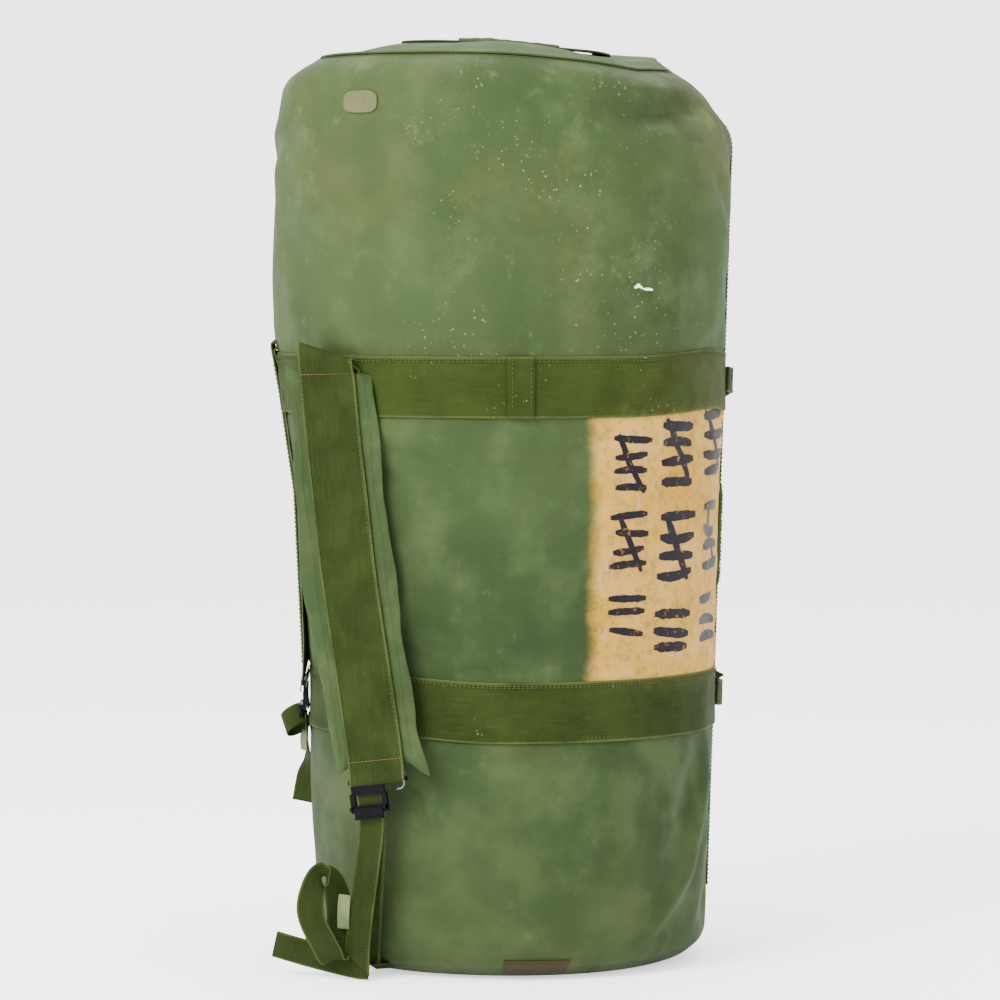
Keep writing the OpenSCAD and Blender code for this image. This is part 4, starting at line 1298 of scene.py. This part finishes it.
def make_tail_right():
    a = along(STRAP_FACE[0])
    drop = pivot(0)[2]
    def at(x, y, z):
        return tail_at(0, x, y, z)
    hang = [at(0, 0, 0.003), at(-0.0006, 0, -0.015), at(-0.003, -0.0005, -0.045),
            at(-0.0075, 0.0005, -0.085), at(-0.010, 0, -drop + 0.032), at(-0.0105, 0, -drop + 0.0135)]
    web = ribbon("tail_right_hanging_web", np.array(hang), a, NARROW, 0.0015, M["narrow"], per=8,
                 step=0.003)
    co = coords(web)
    low = near(co[:, 2], 0.0135, 0.040)
    left_part = np.clip(0.5 - ((co - at(-0.0105, 0, 0)) @ a) / NARROW, 0, 1)
    set_coords(web, co + UP * (low * (left_part * 0.021 - 0.009))[:, None])
    drawn_in(0, web)
    place(web, "tail_right", "webbing", "tail_web_right")
    # Folded over at the floor, the end runs off sideways on its edge
    c = 0.0137
    run = [at(0.001, 0.0012, -drop + c), at(-0.012, 0.0030, -drop + c),
           at(-0.035, 0.0040, -drop + c + 0.003), at(-0.065, 0.0010, -drop + c + 0.009),
           at(-0.094, -0.003, -drop + c + 0.016)]
    acr = [UP, UP, UP + a * 0.08, UP + a * 0.16, UP + a * 0.24]
    web = ribbon("tail_right_floor_web", np.array(run), np.array(acr), NARROW, 0.0015, M["narrow"], per=8,
                 step=0.003)
    place(web, "tail_right", "webbing")
    # The gathered loop beside it, and the pale keeper
    r, c = along(CAM_AZ), out(CAM_AZ)
    base = at(0, 0, -drop)
    pts, acr = [], []
    for x, depth, z, ax, ac, az in ((-0.031, -0.004, 0.020, 0.9, 0.1, 0.25),
                                    (-0.040, 0.001, 0.036, 0.93, 0.1, 0.35),
                                    (-0.0515, 0.003, 0.062, 0.97, 0.12, 0.05),
                                    (-0.0500, -0.001, 0.086, 0.85, -0.45, -0.28),
                                    (-0.0430, -0.008, 0.0985, 0.70, -0.68, -0.25),
                                    (-0.0330, -0.015, 0.0930, 0.75, -0.60, -0.28),
                                    (-0.0265, -0.017, 0.074, 0.88, -0.35, 0.20),
                                    (-0.0245, -0.015, 0.050, 0.95, -0.15, 0.10),
                                    (-0.0265, -0.011, 0.028, 0.95, 0.0, 0.10)):
        pts.append(base + r * x + c * depth + UP * z)
        acr.append(r * ax + c * ac + UP * az)
    loop = ribbon("tail_loop_right_web", np.array(pts), np.array(acr), NARROW, 0.0015, M["narrow"],
                  closed=True, per=8, step=0.0025)
    place(loop, "tail_right", "webbing", "tail_loop_right")
    pts = [at(-0.0215, -0.0015, -drop + 0.080), at(-0.0225, -0.0022, -drop + 0.065),
           at(-0.0230, -0.0016, -drop + 0.048)]
    kp = ribbon("keeper_right_web", np.array(pts), a, 0.0125, 0.0012, M["keeper"], per=6, step=0.002)
    place(kp, "tail_right", "keeper", "keeper_right")


def make_tail_left():
    a = along(STRAP_FACE[1])
    r, c = along(CAM_AZ), out(CAM_AZ)
    def at(x, y, z):
        return tail_at(1, x, y, z)
    hang = [at(0, 0, 0.002), at(0, 0.001, -0.02), at(0.0005, 0.002, -0.045), at(-0.001, 0.001, -0.062),
            at(-0.002, -0.002, -0.086)]
    web = ribbon("tail_left_web", np.array(hang), np.array([a, a, a * 0.9 + r * 0.3, a * 0.55 + r * 0.8, a
                                                            * 0.35 + r * 0.9]), NARROW, 0.0015, M["narrow"],
                 per=8, step=0.003)
    # A wide loop of the end, tipped so that it opens upwards
    centre = at(0, -0.010, -0.006)
    ring = []
    for k in np.linspace(0, 2 * math.pi, 17)[:-1]:
        ring.append(centre + (r * 0.87 + UP * 0.42) * (0.0125 * math.cos(k))
                    + (c * 0.85 + UP * 0.45) * (0.0120 * math.sin(k)))
    loop = ribbon("tail_loop_left_web", np.array(ring), unit(-UP * 0.74 + r * 0.28 + c * 0.50), 0.0225,
                  0.0015, M["narrow"], closed=True, per=6, step=0.002)
    kp = ribbon("keeper_left_web", np.array([at(0, -0.0019, -0.016), at(0, -0.0026, -0.026),
                                             at(0, -0.0019, -0.036)]), a * 0.95 + r * 0.25, NARROW + 0.0015,
                0.0010, M["keeper"], per=6, step=0.002)
    drawn_in(1, web, loop, kp)
    place(web, "tail_left", "webbing", "tail_web_left")
    place(loop, "tail_left", "webbing", "tail_loop_left")
    place(kp, "tail_left", "keeper", "keeper_left")


def finish_metal():
    for node in ("zip_slider", "zip_pull", "zip_stop_upper", "zip_stop_lower"):
        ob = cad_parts[node]
        ob.data.materials.clear()
        ob.data.materials.append(M["steel"])
        bevel(ob, 0.0003, 2)


# Studio

def make_studio():
    me = bpy.data.meshes.new("floor")
    n = 59
    ys = np.linspace(-14.0, 15.0, n)
    v, f = [], []
    back = -np.array(out(CAM_AZ))
    right = np.array(along(CAM_AZ))
    for k, d in enumerate(ys):
        rise = 0.0 if d < 8.0 else (d - 8.0) ** 2 * 0.25
        for w in (-14.0, 14.0):
            v.append(tuple(back * d + right * w + UP * (rise - 0.0002)))
    for k in range(n - 1):
        f.append((2 * k, 2 * k + 1, 2 * k + 3, 2 * k + 2))
    me.from_pydata(v, [], f)
    me.polygons.foreach_set("use_smooth", [True] * len(me.polygons))
    floor = bpy.data.objects.new("floor", me)
    bpy.context.scene.collection.objects.link(floor)
    s = Shader("floor_paper", Specular_IOR_Level=0.1, Emission_Color=(1, 1, 1, 1), Emission_Strength=0.9)
    n = s.noise(s.coord("Object"), 90.0, 3.0)
    me.materials.append(s.finish(s.mix(n, (0.90, 0.90, 0.90), (0.93, 0.93, 0.93)),
                                 s.span(n, 0.2, 0.8, 0.9, 0.8), n, 0.02, 0.0005))
    world = bpy.data.worlds.new("soft_white")
    world.use_nodes = True
    world.node_tree.nodes["Background"].inputs[0].default_value = (1, 1, 1, 1)
    world.node_tree.nodes["Background"].inputs[1].default_value = 2.6
    bpy.context.scene.world = world
    for name, az, el, dist, size, power in (("key", CAM_AZ - 38, 38, 3.2, 1.6, 210),
                                            ("fill", CAM_AZ + 55, 22, 3.6, 2.4, 30),
                                            ("top", CAM_AZ + 180, 75, 2.6, 1.8, 60)):
        light = bpy.data.lights.new(name, "AREA")
        light.size = size
        light.energy = power
        ob = bpy.data.objects.new(name, light)
        e = math.radians(el)
        ob.location = Vector(out(az) * (dist * math.cos(e)) + UP * (dist * math.sin(e) + 0.4))
        ob.rotation_mode = "QUATERNION"
        ob.rotation_quaternion = (Vector((0, 0, 0.45)) - ob.location).to_track_quat("-Z", "Y")
        bpy.context.scene.collection.objects.link(ob)


def make_camera():
    cam = bpy.data.cameras.new("photo_view")
    cam.lens = 167.8
    cam.sensor_width = 36
    ob = bpy.data.objects.new("photo_view", cam)
    e = math.radians(3.3)
    target = np.array([-0.0035, -0.0078, 0.4385])
    ob.location = Vector(target + out(CAM_AZ) * (4.5 * math.cos(e)) + UP * (4.5 * math.sin(e)))
    ob.rotation_mode = "QUATERNION"
    ob.rotation_quaternion = (Vector(target) - ob.location).to_track_quat("-Z", "Y")
    bpy.context.scene.collection.objects.link(ob)
    bpy.context.scene.camera = ob


make_camera()
make_studio()
bag_skin = finish_skin(make_skin())
make_strokes(bag_skin)
make_ends()
make_bands()
make_patches(bag_skin)
make_mouth()
make_handles()
for k in (0, 1):
    make_pad(k)
    make_strap(k)
    strap_iron(k)
    make_adjuster(k)
make_tail_right()
make_tail_left()
finish_metal()
